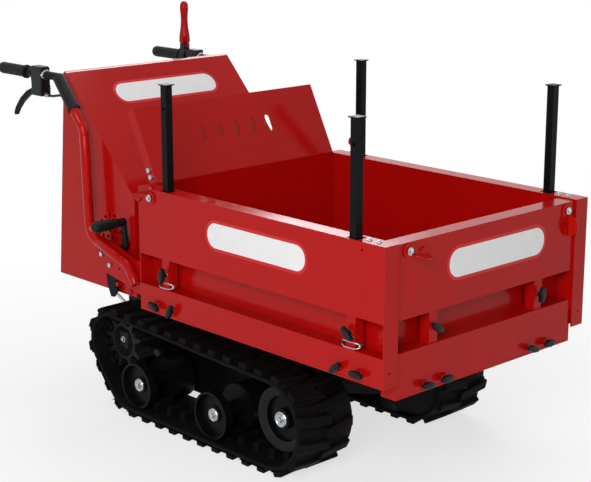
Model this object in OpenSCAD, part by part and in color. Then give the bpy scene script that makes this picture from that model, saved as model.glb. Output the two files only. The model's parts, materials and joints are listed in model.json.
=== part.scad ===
// Tracked power carrier: a walk-behind tipping carrier on two rubber tracks.
// The load box has two side walls and a front gate that pull out on tubes.
// Modelled from the ground up, X across, Y from the front gate to the grips.

/* [Load box] */
// Outside width of the load box
box_w = 714; // [660:2:740]
// Outside length of the load box
box_l = 850; // [820:2:880]
// Height of a side wall above its rail's lower edge
wall_h = 320; // [290:2:350]
// Depth of a double-skinned wall
wall_t = 44; // [42:1:52]
// Thickness of the box's sheet steel
sheet = 3; // [2:0.5:4]
// Height of a wall's lower rail
rail_h = 70; // [62:1:80]
// Height of a wall's upper outer panel
panel_h = 172; // [150:2:185]
// Drop of the front rail below the side rails
front_drop = 36; // [30:1:42]
// Set-back of the front gate behind the corner strips
gate_inset = 6; // [4:1:10]
// Travel of the side walls and the front gate
extend = 180; // [120:5:190]
// Width of the floor leaf that each pulled-out wall carries
leaf_w = 168; // [120:2:170]
// Height of the slanted headboard above the box, along its slope
headboard_l = 200; // [150:5:220]
// Lean of the headboard from upright
headboard_lean = 27; // [15:1:32]

/* [Posts and slides] */
// Side of a square stake post
stake = 20; // [16:1:22]
// Rise of a stake above the side wall
stake_rise = 265; // [200:5:320]
// Wall of a stake socket
socket_wall = 3.5; // [2.5:0.5:4]
// Distance of the stakes from the box's front
stake_front = 104; // [95:1:125]
// Distance of the stakes from the box's rear
stake_rear = 99; // [95:1:125]
// Distance of the front slide tubes from the middle
front_tube_x = 187; // [180:1:200]
// Side of a square slide tube
tube = 25; // [20:1:28]
// Wall of a slide tube
tube_wall = 2.5; // [2:0.5:3]
// Wall of the guide round a slide tube
guide_wall = 2.2; // [2:0.1:3]
// Clearance of sliding pieces on each side
slide_gap = 0.3; // [0.2:0.05:0.5]
// Length of a wing knob
knob_l = 44; // [36:1:50]

/* [Tracks] */
// Width of a rubber track
track_w = 180; // [172:1:188]
// Gap between the two tracks
track_gap = 313; // [305:1:330]
// Pitch of the track's lugs
lug_pitch = 57.5; // [56:0.5:59]
// Thickness of the track's belt
belt_t = 12; // [10:0.5:14]
// Height of the tread lugs
lug_h = 14; // [10:0.5:18]
// Radius of a road roller
roller_r = 62; // [56:1:64]
// Radius of the belt's inside on the front idler
idler_r = 104; // [98:1:106]
// Height of the sprocket's centre above the ground
sprocket_z = 183; // [180:1:188]
// Radius of the rollers' and the idler's shafts
shaft_r = 14; // [12:0.5:16]

/* [Hood and handles] */
// Width of the hood
hood_w = 570; // [540:2:580]
// Height of the hood's top above the ground
hood_top = 886; // [860:2:910]
// Height of the handlebars above the ground
bar_z = 866; // [850:1:868]
// Radius of a handlebar tube
bar_r = 11; // [10:0.5:12]
// Radius of a handlebar grip
grip_r = 16; // [15:0.5:18]
// Length of a handlebar grip
grip_l = 127; // [110:1:140]
// Distance of the grips' rear ends behind the hood's ridge
grip_end = 317; // [300:1:340]
// Radius of the dump handle's tube
dump_r = 13; // [11:0.5:14]
// Radius of the bed's tipping pin
pin_r = 8; // [7:0.5:9]

/* [Hidden] */
$fn = 48;
eps = 1;
run_gap = 0.05;
face_gap = 0.4;
wheel_gap = 0.4;

red = "#a81c1c";
black = "#1c1c1c";
steel = "#b8bcc0";
cast = "#3a3c3e";

// Heights, from the track upwards
teeth = 9;
sprocket_r = teeth * lug_pitch / (2 * PI) - belt_t / 2;
track_top = sprocket_z + sprocket_r + belt_t + lug_h;
bed_gap = 6;
frame_z = track_top + bed_gap;
guide = tube + 2 * slide_gap + 2 * guide_wall;
guide_step = 11;
front_tube_z = frame_z + guide / 2;
side_guide_z = frame_z + guide + guide_step;
side_tube_z = side_guide_z + guide / 2;
floor_z = side_guide_z + guide;
floor_top = floor_z + sheet;
tube_rise = 22;
bed_z = side_tube_z - tube_rise;
wall_top = bed_z + wall_h;
gate_drop = 3;
gate_top = wall_top - gate_drop;
leaf_z = floor_top + slide_gap;
front_rail_z = bed_z - front_drop;

// Plan of the load box
half_w = box_w / 2;
inner_w = half_w - wall_t;
gate_gap = 1.5;
gate_half = inner_w - gate_gap;
gate_y = gate_inset;
gate_back = gate_y + wall_t;
rear_wall_gap = 18;
rear_y = box_l - rear_wall_gap;
lip = 24;
socket_bore = stake + 2 * slide_gap;
socket = socket_bore + 2 * socket_wall;
socket_inset = 4;
stake_x = half_w - socket_inset - socket / 2;
stake_ys = [stake_front, box_l - stake_rear];
stake_slot = stake + 14;
clip_rise = 12;
clip_r = 1.6;
clip_z = bed_z + rail_h + clip_rise;
stake_foot = clip_z + clip_r + slide_gap;
knob_reach = 20;
latch_leaf_w = 52;
latch_leaf_l = 29;
latch_leaf_t = 3;
latch_leaf_bend = 78;
latch_leaf_lift = face_gap + eps / 2;
latch_leaf_out = latch_leaf_l * sin(latch_leaf_bend) + latch_leaf_t * cos(latch_leaf_bend);
latch_reach = max(knob_reach, latch_leaf_lift + latch_leaf_out);
knob_w = 16;
knob_t = 12;
knob_pair = 32;
knob_stem_r = 3;
knob_hole_r = knob_stem_r + run_gap;
rail_knob_z = side_tube_z;
socket_knob_z = bed_z + rail_h + 38;
tie_r = 3;
tie_in = 18;
tie_low = 35;
tie_back = 69;

// Wheels, as distances from the front gate and heights
hood_gap = 112;
hood_front = box_l + hood_gap;
drive_set_back = 56;
sprocket_y = hood_front + drive_set_back;
rear_roller_lead = 93;
rear_roller_y = sprocket_y - rear_roller_lead;
front_roller_y = 622;
idler_y = 402;
tread_flat = 0.5;
belt_low = lug_h + belt_t - tread_flat;
roller_z = belt_low + roller_r;
idler_z = belt_low + idler_r;
// The stiff belt swings wide round the rear roller
rear_bend_r = 81;
rear_bend_lag = 25;
rear_bend_y = rear_roller_y + rear_bend_lag;
// Bends of the belt, as [distance, height] of the centre and the inside radius
bends = [
    [[idler_y, idler_z], idler_r],
    [[rear_bend_y, belt_low + rear_bend_r], rear_bend_r],
    [[sprocket_y, sprocket_z], sprocket_r]
];
bend_count = len(bends);
track_in = track_gap / 2;
track_mid = track_in + track_w / 2;
guide_lug_w = 56;
guide_lug_l = 18;
guide_lug_h = 22;
guide_in = 110;
guide_mid = track_in + guide_in;
guide_clear = 6;
wheel_w = 22;
wheel_edge = 12;
wheel_hub_r = 26;
drum_in = track_in + wheel_edge;
drum_out = guide_mid - guide_lug_w / 2 - guide_clear;
frame_clear = 4.5;
frame_t = 12;
boss_w = 30;
frame_out = track_in - frame_clear;
frame_in = frame_out - frame_t;
boss_in = frame_out - boss_w;
shaft_end = boss_in - 4;

// Chassis
chassis_drop = 36;
chassis_top = track_top - chassis_drop;
beam_h = 50;
beam_w = 40;
beam_x = 55;
beam_front = 232;
tip_y = 270;
tip_rise = 22;
tip_z = chassis_top + tip_rise;
tip_eye_r = 16;
deck_t = 6;
hood_drop = 10;
hood_z = bed_z - hood_drop;
hood_half = hood_w / 2;
hood_sheet = 3;
shoulder_rise = 258;
hood_shoulder = bed_z + shoulder_rise;
hood_l = 350;
ridge_in = 298;
hood_ridge = hood_front + ridge_in;
ridge_w = 12;
hood_crest = hood_ridge - ridge_w;
hood_rear = hood_front + hood_l;
hood_fall = 3;
beam_end = 60;
beam_rear = hood_rear - beam_end;
grip_y = hood_ridge + grip_end;
bar_in = 9;
bar_x = hood_half - bar_in;
drive_x = 18;
drive_w = 26;
drive_clear = 8;
crank_in = 188;
crank_rise = 114;
crank = [hood_front + crank_in, hood_z + crank_rise];
crank_pulley_r = 40;
input_lead = 3;
input_rise = 27;
input = [sprocket_y - input_lead, chassis_top + input_rise];
input_pulley_r = 52;

// Dump handle and bed latch on the right-hand side
dump_plate_t = 6;
dump_plate_x = hood_half + 18;
dump_tube_x = dump_plate_x + dump_plate_t + dump_r - 1;
rear_corner = [box_l, bed_z];
dump_points = [[383, 550], [276, 424], [263, 136], [102, 90], [67, 42]];
dump_path = [for (p = dump_points) p + rear_corner];
dump_bolts = [[229, 92]];
dump_hole = [153, 65];
dump_hole_r = 4;
dump_bend = 55;
dump_grip_l = 108;
latch_pivot = rear_corner + [193, 68];
latch_t = 6;
latch_x = dump_plate_x - face_gap - latch_t;
latch_grip_r = 15;
latch_grip_l = 97;
latch_knob_at = rear_corner + [143, 193];
latch_open = 14;
striker_r = 6;
striker_at = rear_corner + [162, 22];
stud_r = 5;
stud_l = 8;

// The reach to each side sets the middle of the whole machine
right_reach = latch_x + latch_t + latch_grip_l;
left_reach = half_w + latch_reach;
front_reach = latch_reach - gate_y;
origin_x = (right_reach - left_reach) / 2;
origin_y = (front_reach - grip_y) / 2;

// Helpers

module placed() {
    translate([origin_x, origin_y, 0])
        children();
}

// Pieces are drawn for the left-hand side (+X); s = -1 gives the right-hand side
module on_side(s) {
    if (s < 0)
        mirror([1, 0, 0])
            children();
    else
        children();
}

// A box from its two opposite corners
module block(a, b) {
    translate(a)
        cube(b - a);
}

// A [distance, height] outline, extruded across from x0 to x1
module across(x0, x1) {
    translate([x0, 0, 0])
        rotate([90, 0, 90])
            linear_extrude(x1 - x0)
                children();
}

// A round bar across from x0 to x1 at a [distance, height] point
module bar_across(x0, x1, at, r) {
    translate([x0, at[0], at[1]])
        rotate([0, 90, 0])
            cylinder(h = x1 - x0, r = r);
}

// Outline of a strip of sheet of thickness t on the left of the line from p to q
module strip(p, q, t) {
    d = (q - p) / norm(q - p);
    n = [-d[1], d[0]] * t;
    polygon([p, q, q + n, p + n]);
}

// A square tube lying along X between x0 and x1
module square_tube_x(x0, x1, y, z, size, wall) {
    difference() {
        block([x0, y - size / 2, z - size / 2], [x1, y + size / 2, z + size / 2]);
        block([x0 - eps, y - size / 2 + wall, z - size / 2 + wall],
              [x1 + eps, y + size / 2 - wall, z + size / 2 - wall]);
    }
}

// A square tube lying along Y between y0 and y1
module square_tube_y(y0, y1, x, z, size, wall) {
    difference() {
        block([x - size / 2, y0, z - size / 2], [x + size / 2, y1, z + size / 2]);
        block([x - size / 2 + wall, y0 - eps, z - size / 2 + wall],
              [x + size / 2 - wall, y1 + eps, z + size / 2 - wall]);
    }
}

// A round rod that follows a flat path of [distance, height] points with round bends
function path_dir(pts, i) = (pts[i + 1] - pts[i]) / norm(pts[i + 1] - pts[i]);
function path_turn(pts, i) =
    let (a = path_dir(pts, i - 1), b = path_dir(pts, i))
    atan2(a[0] * b[1] - a[1] * b[0], a[0] * b[0] + a[1] * b[1]);
function path_trim(pts, i, bend) =
    (i == 0 || i == len(pts) - 1) ? 0 : bend * tan(abs(path_turn(pts, i)) / 2);

module bent_rod(pts, bend, r, x, over = 0) {
    last = len(pts) - 1;
    translate([x, 0, 0])
        rotate([90, 0, 90])
            union() {
                for (i = [0 : last - 1]) {
                    d = path_dir(pts, i);
                    start = pts[i] + d * (path_trim(pts, i, bend) - (i == 0 ? over : 0));
                    end = pts[i + 1] - d * (path_trim(pts, i + 1, bend) - (i == last - 1 ? over : 0));
                    translate([start[0], start[1], 0])
                        rotate([0, 0, atan2(d[1], d[0])])
                            rotate([0, 90, 0])
                                cylinder(h = norm(end - start), r = r);
                }
                for (i = [1 : last - 1])
                    path_bend(pts, i, bend, r);
            }
}

// A bend is a hair thinner than the straights and reaches a little way into them
module path_bend(pts, i, bend, r) {
    lap = 2.5 / bend * 180 / PI;
    thinner = 0.2;
    turn = path_turn(pts, i);
    a = path_dir(pts, i - 1);
    hand = turn > 0 ? 1 : -1;
    entry = pts[i] - a * path_trim(pts, i, bend);
    centre = entry + hand * bend * [-a[1], a[0]];
    from_entry = atan2(entry[1] - centre[1], entry[0] - centre[0]);
    translate([centre[0], centre[1], 0])
        rotate([0, 0, (turn > 0 ? from_entry : from_entry + turn) - lap])
            rotate_extrude(angle = abs(turn) + 2 * lap)
                translate([bend, 0])
                    circle(r - thinner);
}

// A wing knob: its face seat is at the origin and it stands out along Z
module wing_knob(turn, stem) {
    lens_r = (knob_l * knob_l / 4 + knob_w * knob_w / 4) / knob_w;
    rotate([0, 0, turn]) {
        translate([0, 0, knob_reach - knob_t])
            linear_extrude(knob_t)
                intersection() {
                    translate([0, knob_w / 2 - lens_r])
                        circle(lens_r);
                    translate([0, lens_r - knob_w / 2])
                        circle(lens_r);
                }
        cylinder(h = knob_reach - knob_t, r = knob_stem_r + 3);
        translate([0, 0, -stem])
            cylinder(h = stem, r = knob_stem_r);
    }
}

// Tracks

function belt_normal(i) =
    let (
        a = bends[i], b = bends[(i + 1) % bend_count],
        d = b[0] - a[0], u = d / norm(d),
        s = (a[1] - b[1]) / norm(d), c = sqrt(1 - s * s)
    )
    [u[1] * c + u[0] * s, u[1] * s - u[0] * c];
last_bend = bend_count - 1;
belt_angles = [for (i = [0 : last_bend]) atan2(belt_normal(i)[1], belt_normal(i)[0])];
function wrap(a) = a < 0 ? a + 360 : a;
function before(i) = (i + last_bend) % bend_count;
belt_wraps = [for (i = [0 : last_bend]) wrap(belt_angles[i] - belt_angles[before(i)])];
belt_arcs = [for (i = [0 : last_bend]) belt_wraps[i] * PI / 180 * (bends[i][1] + belt_t / 2)];
belt_runs = [
    for (i = [0 : last_bend])
        let (a = bends[i], b = bends[(i + 1) % bend_count], d = norm(b[0] - a[0]), e = a[1] - b[1])
        sqrt(d * d - e * e)
];
function sum(v, n) = n == 0 ? 0 : v[n - 1] + sum(v, n - 1);
belt_l = sum(belt_arcs, bend_count) + sum(belt_runs, bend_count);
lug_count = round(belt_l / lug_pitch);
lug_step = belt_l / lug_count;
// The lugs are set out from the middle of the sprocket's wrap, the last of the bends
mesh_at = sum(belt_arcs, last_bend) + sum(belt_runs, last_bend) + belt_arcs[last_bend] / 2;
mesh_angle = belt_angles[before(last_bend)] + belt_wraps[last_bend] / 2;

// Place on the belt's middle line at length s, as [distance, height, outward angle]
function belt_place(s, i = 0) =
    s < belt_arcs[i] ? belt_on_arc(s, i)
    : s < belt_arcs[i] + belt_runs[i] ? belt_on_run(s - belt_arcs[i], i)
    : belt_place(s - belt_arcs[i] - belt_runs[i], (i + 1) % bend_count);
function belt_on_arc(s, i) =
    let (
        r = bends[i][1] + belt_t / 2,
        a = belt_angles[before(i)] + s / r * 180 / PI,
        p = bends[i][0] + r * [cos(a), sin(a)]
    )
    [p[0], p[1], a];
function belt_on_run(s, i) =
    let (
        n = belt_normal(i),
        p = bends[i][0] + (bends[i][1] + belt_t / 2) * n + s * [-n[1], n[0]]
    )
    [p[0], p[1], belt_angles[i]];

// Outline of the loop, grown outwards from the belt's inside by off; its runs lie a hair inside
module belt_loop(off) {
    inside = 0.05;
    for (w = bends)
        translate(w[0])
            circle(w[1] + off, $fn = 96);
    polygon([
        for (i = [0 : last_bend], end = [i, (i + 1) % bend_count])
            bends[end][0] + (bends[end][1] + off - inside) * belt_normal(i)
    ]);
}

module at_belt(s) {
    p = belt_place(s % belt_l);
    translate([0, p[0], p[1]])
        rotate([p[2], 0, 0])
            children();
}

lug_mid = 12;
lug_end = 18;
lug_bite = 8;
lug_edge = 1;
lug_inner_edge = 12;
lug_slant = 18;

// One tread lug, slanted across half of the belt: outwards is +Y, along the belt is Z
module tread_lug(x0, x1, slant) {
    rotate([-90, 0, 0])
        linear_extrude(belt_t / 2 + lug_h)
            polygon([
                [x0, -lug_mid - slant / 2], [x1, -lug_end + slant / 2],
                [x1, lug_end / 2 + slant / 2], [x0, lug_mid - slant / 2]
            ]);
}

module track() {
    outer_edge = track_in + track_w - lug_edge;
    inner_edge = track_in + lug_inner_edge;
    difference() {
        union() {
            across(track_in, track_in + track_w)
                difference() {
                    belt_loop(belt_t);
                    belt_loop(0);
                }
            for (k = [0 : lug_count - 1]) {
                at_belt(mesh_at + k * lug_step)
                    tread_lug(track_mid - lug_bite, outer_edge, lug_slant);
                at_belt(mesh_at + (k + 0.5) * lug_step)
                    mirror([1, 0, 0])
                        tread_lug(-track_mid - lug_bite, -inner_edge, lug_slant);
            }
            translate([guide_mid, 0, 0])
                for (k = [0 : lug_count - 1])
                    at_belt(mesh_at + k * lug_step)
                        guide_lug();
        }
        block([track_in - eps, 0, -lug_h], [track_in + track_w + eps, grip_y, 0]);
    }
}

module guide_lug() {
    depth = guide_lug_h + belt_t / 2;
    block([-guide_lug_w / 2, -depth, -guide_lug_l / 2], [guide_lug_w / 2, eps, guide_lug_l / 2]);
}

module right_track() color(black) placed() on_side(-1) track();
module left_track() color(black) placed() on_side(1) track();

// Wheels on their shafts

tooth_w = 16;
tooth_clear = 4;

sprocket_dish = 24;
sprocket_rim = 9;
sprocket_hub_sink = 10;
sprocket_hub_r = 20;

module sprocket() {
    root_r = sprocket_r - guide_lug_h - tooth_clear;
    tip_r = sprocket_r - 2 * wheel_gap;
    disc_w = guide_lug_w - tooth_clear;
    half = tooth_w / 2;
    face = guide_mid + disc_w / 2;
    dish = face - sprocket_dish;
    translate([0, sprocket_y, sprocket_z])
        difference() {
            union() {
                translate([guide_mid - disc_w / 2, 0, 0])
                    rotate([90, 0, 90])
                        linear_extrude(disc_w) {
                            circle(root_r);
                            for (k = [0 : teeth - 1])
                                rotate(mesh_angle + (k + 0.5) * 360 / teeth)
                                    polygon([
                                        [root_r / 2, -half], [root_r, -half], [tip_r, -half / 2],
                                        [tip_r, half / 2], [root_r, half], [root_r / 2, half]
                                    ]);
                        }
                bar_across(gearbox_half - gearbox_bite, guide_mid, [0, 0], shaft_r);
                bar_across(drum_in, guide_mid - disc_w / 4, [0, 0], root_r - tooth_clear);
            }
            difference() {
                bar_across(dish, face + eps, [0, 0], root_r - sprocket_rim);
                bar_across(dish - eps, face - sprocket_hub_sink, [0, 0], sprocket_hub_r);
            }
        }
}

module right_sprocket() color(cast) placed() on_side(-1) sprocket();
module left_sprocket() color(cast) placed() on_side(1) sprocket();

idler_dish = 16;
idler_rim = 11;
idler_hub_sink = 1;
roller_dish = 17;
roller_rim = 6;
roller_hub_sink = 13;
spool_r = 22;

// A wheel with a dished outer face, from x0 outwards; its hub ends hub_sink below the rim
module dished_wheel(x0, w, r, rim, dish, hub_r, hub_sink) {
    floor_x = x0 + w - dish;
    difference() {
        bar_across(x0, x0 + w, [0, 0], r);
        difference() {
            bar_across(floor_x, x0 + w + eps, [0, 0], r - rim);
            bar_across(floor_x - eps, x0 + w - hub_sink, [0, 0], hub_r);
        }
    }
}

// Idler: a drum beside the guide lugs and a smaller dished disc under them
module idler() {
    disc_r = idler_r - guide_lug_h - wheel_gap;
    disc_w = guide_lug_w / 2 + guide_clear + 20;
    translate([0, idler_y, idler_z]) {
        bar_across(drum_in, drum_out, [0, 0], idler_r - wheel_gap);
        dished_wheel(drum_out - eps, disc_w, disc_r, idler_rim, idler_dish, wheel_hub_r, idler_hub_sink);
        bar_across(shaft_end, drum_in + eps, [0, 0], shaft_r);
    }
}

// Road roller: a drum and a dished outer wheel, with a spool between them for the guide lugs
module roller(y) {
    rim_r = roller_r - wheel_gap;
    out_x = track_in + track_w - wheel_edge - wheel_w;
    translate([0, y, roller_z]) {
        dished_wheel(out_x, wheel_w, rim_r, roller_rim, roller_dish, spool_r, roller_hub_sink);
        bar_across(drum_in, drum_out, [0, 0], rim_r);
        bar_across(drum_out - eps, out_x + 2 * eps, [0, 0], spool_r);
        bar_across(shaft_end, drum_in + eps, [0, 0], shaft_r);
    }
}

module right_idler() color(black) placed() on_side(-1) idler();
module left_idler() color(black) placed() on_side(1) idler();
module right_front_roller() color(black) placed() on_side(-1) roller(front_roller_y);
module right_rear_roller() color(black) placed() on_side(-1) roller(rear_roller_y);
module left_front_roller() color(black) placed() on_side(1) roller(front_roller_y);
module left_rear_roller() color(black) placed() on_side(1) roller(rear_roller_y);

frame_reach = 35;
frame_low = 40;

// Track frame: an upright plate just inside the track, with bosses for the wheel shafts
module track_frame() {
    eye = shaft_r + 6;
    front = idler_y - frame_reach;
    rear = rear_roller_y + frame_reach;
    shafts = [[idler_y, idler_z], [front_roller_y, roller_z], [rear_roller_y, roller_z]];
    difference() {
        union() {
            across(frame_in, frame_out)
                polygon([
                    [front, beam_z], [front, idler_z - frame_reach],
                    [front_roller_y - frame_reach, frame_low],
                    [rear - eye, frame_low], [rear, frame_low + eye], [rear, beam_z]
                ]);
            for (at = shafts)
                bar_across(boss_in, frame_in + eps, at, eye);
        }
        for (at = shafts)
            bar_across(boss_in - eps, frame_out + eps, at, shaft_r + run_gap);
    }
}

module right_track_frame() color(black) placed() on_side(-1) track_frame();
module left_track_frame() color(black) placed() on_side(1) track_frame();

// Chassis

beam_z = chassis_top - beam_h;
beam_wall = 4;
cross_h = 40;
front_cross_lead = 77;
rear_cross_lead = 100;
cross_ys = [front_roller_y - front_cross_lead, rear_roller_y - rear_cross_lead];
cross_w = 30;
buffer = 40;
buffer_in = 42;
buffer_y = rear_y - buffer_in;
lug_t = 10;
hood_foot = 40;

module chassis_frame() color(black) placed() {
    z0 = beam_z;
    difference() {
        union() {
            for (s = [-1, 1])
                on_side(s) {
                    block([beam_x, beam_front, z0], [beam_x + beam_w, beam_rear, chassis_top]);
                    block([beam_x + lug_t, tip_y - tip_eye_r, chassis_top - eps],
                          [beam_x + 2 * lug_t, tip_y + tip_eye_r, tip_z]);
                    bar_across(beam_x + lug_t, beam_x + 2 * lug_t, [tip_y, tip_z], tip_eye_r);
                    block([beam_x, buffer_y, chassis_top - eps],
                          [beam_x + buffer, buffer_y + buffer, frame_z - slide_gap]);
                    for (y = cross_ys)
                        block([-eps, y, z0 - cross_h], [frame_in, y + cross_w, z0]);
                    for (y = [hood_front + hood_foot / 2, beam_rear - hood_foot - deck_t])
                        block([beam_x, y, chassis_top - eps], [beam_x + beam_w, y + hood_foot, hood_z + eps]);
                }
            block([-beam_x - eps, beam_front, z0], [beam_x + eps, beam_front + beam_w, chassis_top]);
            block([-beam_x - eps, beam_rear - beam_w, z0], [beam_x + eps, beam_rear, chassis_top]);
            block([-hood_half + hood_sheet, hood_front + hood_sheet, hood_z],
                  [hood_half - hood_sheet, beam_rear, hood_z + deck_t]);
        }
        bar_across(-hood_half, hood_half, [tip_y, tip_z], pin_r + run_gap);
        for (s = [-1, 1])
            on_side(s)
                block([beam_x + beam_wall, beam_front - eps, z0 + beam_wall],
                      [beam_x + beam_w - beam_wall, beam_rear + eps, chassis_top - beam_wall]);
        block([drive_x - drive_clear, hood_front, hood_z - 2 * eps],
              [drive_x + drive_w + drive_clear, crank[0] + hood_foot, hood_z + deck_t + eps]);
    }
}

module tip_pin() color(steel) placed() {
    head = 5;
    for (s = [-1, 1])
        on_side(s)
            union() {
                bar_across(beam_x + lug_t - eps, beam_x + 3 * lug_t + head, [tip_y, tip_z], pin_r);
                bar_across(beam_x + lug_t - head, beam_x + lug_t, [tip_y, tip_z], pin_r + 4);
            }
}

// Hood

function rear_face(z) = hood_ridge + (hood_rear - hood_ridge) * (hood_top - z) / (hood_top - hood_z);

vent_in = 100;
vent_rise = 146;
vent_at = [hood_front + vent_in, hood_z + vent_rise];
vent_r = 60;
vent_hole_r = 5;

module hood_side() {
    polygon([
        [hood_front, hood_z], [hood_rear, hood_z], [hood_ridge, hood_top],
        [hood_crest, hood_top - hood_fall], [hood_front, hood_shoulder]
    ]);
}

module hood() color(red) placed() {
    difference() {
        union() {
            for (s = [-1, 1])
                on_side(s)
                    across(hood_half - hood_sheet, hood_half)
                        hood_side();
            across(-hood_half, hood_half) {
                strip([hood_front + hood_sheet, hood_z],
                      [hood_front + hood_sheet, hood_shoulder], hood_sheet);
                strip([hood_crest, hood_top - hood_fall], [hood_front, hood_shoulder], hood_sheet);
                strip([hood_ridge, hood_top], [hood_crest, hood_top - hood_fall], hood_sheet);
                strip([hood_rear, hood_z], [hood_ridge, hood_top], hood_sheet);
            }
        }
        for (ring = [1 : 3], k = [0 : 6 * ring - 1])
            vent_hole(ring * vent_r / 3, k * 60 / ring);
        vent_hole(0, 0);
    }
}

module vent_hole(r, a) {
    at = vent_at + r * [cos(a), sin(a)];
    bar_across(-hood_half - eps, -hood_half + hood_sheet + eps, at, vent_hole_r);
    bar_across(hood_half - hood_sheet - eps, hood_half + eps, at, vent_hole_r);
}

foot_t = 5;
foot_w = 30;
foot_h = 40;
foot_gap = 0.1;
foot_drop = 6;
grip_end_t = 4;

// Handlebars with their foot plates on the hood's rear face
module handlebars() color(black) placed() {
    start = rear_face(bar_z) + foot_t / 2;
    for (s = [-1, 1])
        on_side(s)
            difference() {
                union() {
                    translate([0, foot_gap, 0])
                        across(bar_x - foot_w, hood_half)
                            strip([rear_face(hood_top - foot_drop), hood_top - foot_drop],
                                  [rear_face(bar_z - foot_h), bar_z - foot_h], foot_t);
                    translate([bar_x, start, bar_z])
                        rotate([-90, 0, 0])
                            cylinder(h = grip_y - grip_end_t - start, r = bar_r);
                }
                translate([bar_x, start + 2 * foot_t, bar_z])
                    rotate([-90, 0, 0])
                        cylinder(h = grip_y, r = bar_r - tube_wall);
            }
}

module grips() color(black) placed() {
    for (s = [-1, 1])
        on_side(s)
            difference() {
                translate([bar_x, grip_y, bar_z])
                    rotate([90, 0, 0])
                        cylinder(h = grip_l, r = grip_r);
                translate([bar_x, grip_y - grip_end_t, bar_z])
                    rotate([90, 0, 0])
                        cylinder(h = grip_l, r = bar_r + run_gap);
            }
}

grip_start = grip_y - grip_l;
bracket_l = 50;
bracket_lead = 38;
bracket_y = grip_start - bracket_lead - bracket_l;
bracket_low = bar_z - 60;
bracket_top = bar_z + 22;
bracket_half = 15;
lever_slot_l = 34;
lever_eye_in = 14;
lever_eye_y = bracket_y + bracket_l - lever_eye_in;
lever_eye_z = bar_z - 44;
lever_eye_r = 8.5;
lever_pin_r = 4;
lever_t = 10;
ear_t = 4;
clutch_l = 26;
clutch_lead = 17;
clutch_eye_y = grip_start - clutch_lead;
clutch_z = bar_z + 30;
clamp_wall = 6;

// Housing clamped on the bar, with a slot for a lever's eye at its lower rear corner
module lever_bracket() {
    slot = lever_t / 2 + face_gap;
    end = bracket_y + bracket_l;
    difference() {
        block([bar_x - bracket_half, bracket_y, bracket_low], [bar_x + bracket_half, end, bracket_top]);
        translate([bar_x, bracket_y - eps, bar_z])
            rotate([-90, 0, 0])
                cylinder(h = bracket_l + 2 * eps, r = bar_r + run_gap);
        block([bar_x - slot, end - lever_slot_l, bracket_low - eps],
              [bar_x + slot, end + eps, bar_z - bar_r - clamp_wall]);
    }
    bar_across(bar_x - slot - eps, bar_x + slot + eps, [lever_eye_y, lever_eye_z], lever_pin_r);
}

module clutch_bracket() {
    ear = lever_t / 2 + face_gap;
    eye_r = lever_t + eps;
    start = grip_start - clutch_l - ear_t;
    difference() {
        union() {
            translate([bar_x, start, bar_z])
                rotate([-90, 0, 0])
                    cylinder(h = clutch_l, r = bar_r + clamp_wall);
            for (x = [bar_x - ear - ear_t, bar_x + ear])
                across(x, x + ear_t) {
                    translate([clutch_eye_y, clutch_z])
                        circle(eye_r);
                    translate([clutch_eye_y - eye_r, bar_z + bar_r + eps])
                        square([2 * eye_r, clutch_z - bar_z - bar_r]);
                }
            bar_across(bar_x - ear - ear_t, bar_x + ear + ear_t, [clutch_eye_y, clutch_z], lever_pin_r);
        }
        translate([bar_x, start - eps, bar_z])
            rotate([-90, 0, 0])
                cylinder(h = clutch_l + 2 * eps, r = bar_r + run_gap);
    }
}

module lever_brackets() color(black) placed() {
    on_side(-1)
        lever_bracket();
    lever_bracket();
    clutch_bracket();
}

// Steering lever: an eye on the bracket's pin and a blade that hangs below the grip
lever_points = [
    [-4, 7], [24, 3], [54, -9], [88, -33], [112, -60], [122, -78], [118, -85], [109, -83],
    [97, -66], [76, -45], [46, -24], [20, -11], [-4, -7]
];

module steering_lever() {
    blade_t = lever_t - 2 * eps;
    difference() {
        union() {
            bar_across(bar_x - lever_t / 2, bar_x + lever_t / 2, [lever_eye_y, lever_eye_z], lever_eye_r);
            across(bar_x - blade_t / 2, bar_x + blade_t / 2)
                translate([lever_eye_y, lever_eye_z])
                    polygon(lever_points);
        }
        bar_across(bar_x - lever_t, bar_x + lever_t, [lever_eye_y, lever_eye_z], lever_pin_r + run_gap);
    }
}

module right_lever() color(black) placed() on_side(-1) steering_lever();
module left_lever() color(black) placed() on_side(1) steering_lever();

clutch_points = [
    [-12, 0], [12, 0], [13, 30], [8, 70], [12, 108], [6, 122], [-3, 126], [-9, 116], [-5, 70], [-10, 30]
];

module clutch_lever() color(red) placed() {
    difference() {
        across(bar_x - lever_t / 2, bar_x + lever_t / 2)
            translate([clutch_eye_y, clutch_z]) {
                circle(lever_t + 2 * eps);
                polygon(clutch_points);
            }
        bar_across(bar_x - lever_t, bar_x + lever_t, [clutch_eye_y, clutch_z], lever_pin_r + run_gap);
    }
}

// Bowden cables from the levers' housings into the hood's rear face
cable_r = 3.5;
cable_drop = 50;
cable_sag = 6;
cable_bend = 30;

module control_cables() color(black) placed() {
    cable_z = bar_z - cable_drop;
    entry = rear_face(cable_z - cable_r) + run_gap;
    for (s = [-1, 1])
        on_side(s)
            bent_rod([
                [bracket_y - run_gap, cable_z - cable_sag], [bracket_y - cable_bend, cable_z - cable_sag],
                [entry + cable_bend, cable_z], [entry, cable_z]
            ], cable_bend, cable_r, bar_x);
}

// Engine, gearbox and belt drive under the hood

gearbox_half = 50;
gearbox_bite = 24;
gearbox_reach = 52;
gearbox_low = 60;
gearbox_foot = 10;
gearbox_foot_reach = 22;
input_shaft_r = 9;
crank_shaft_r = 10;
shaft_bite = 18;

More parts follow.
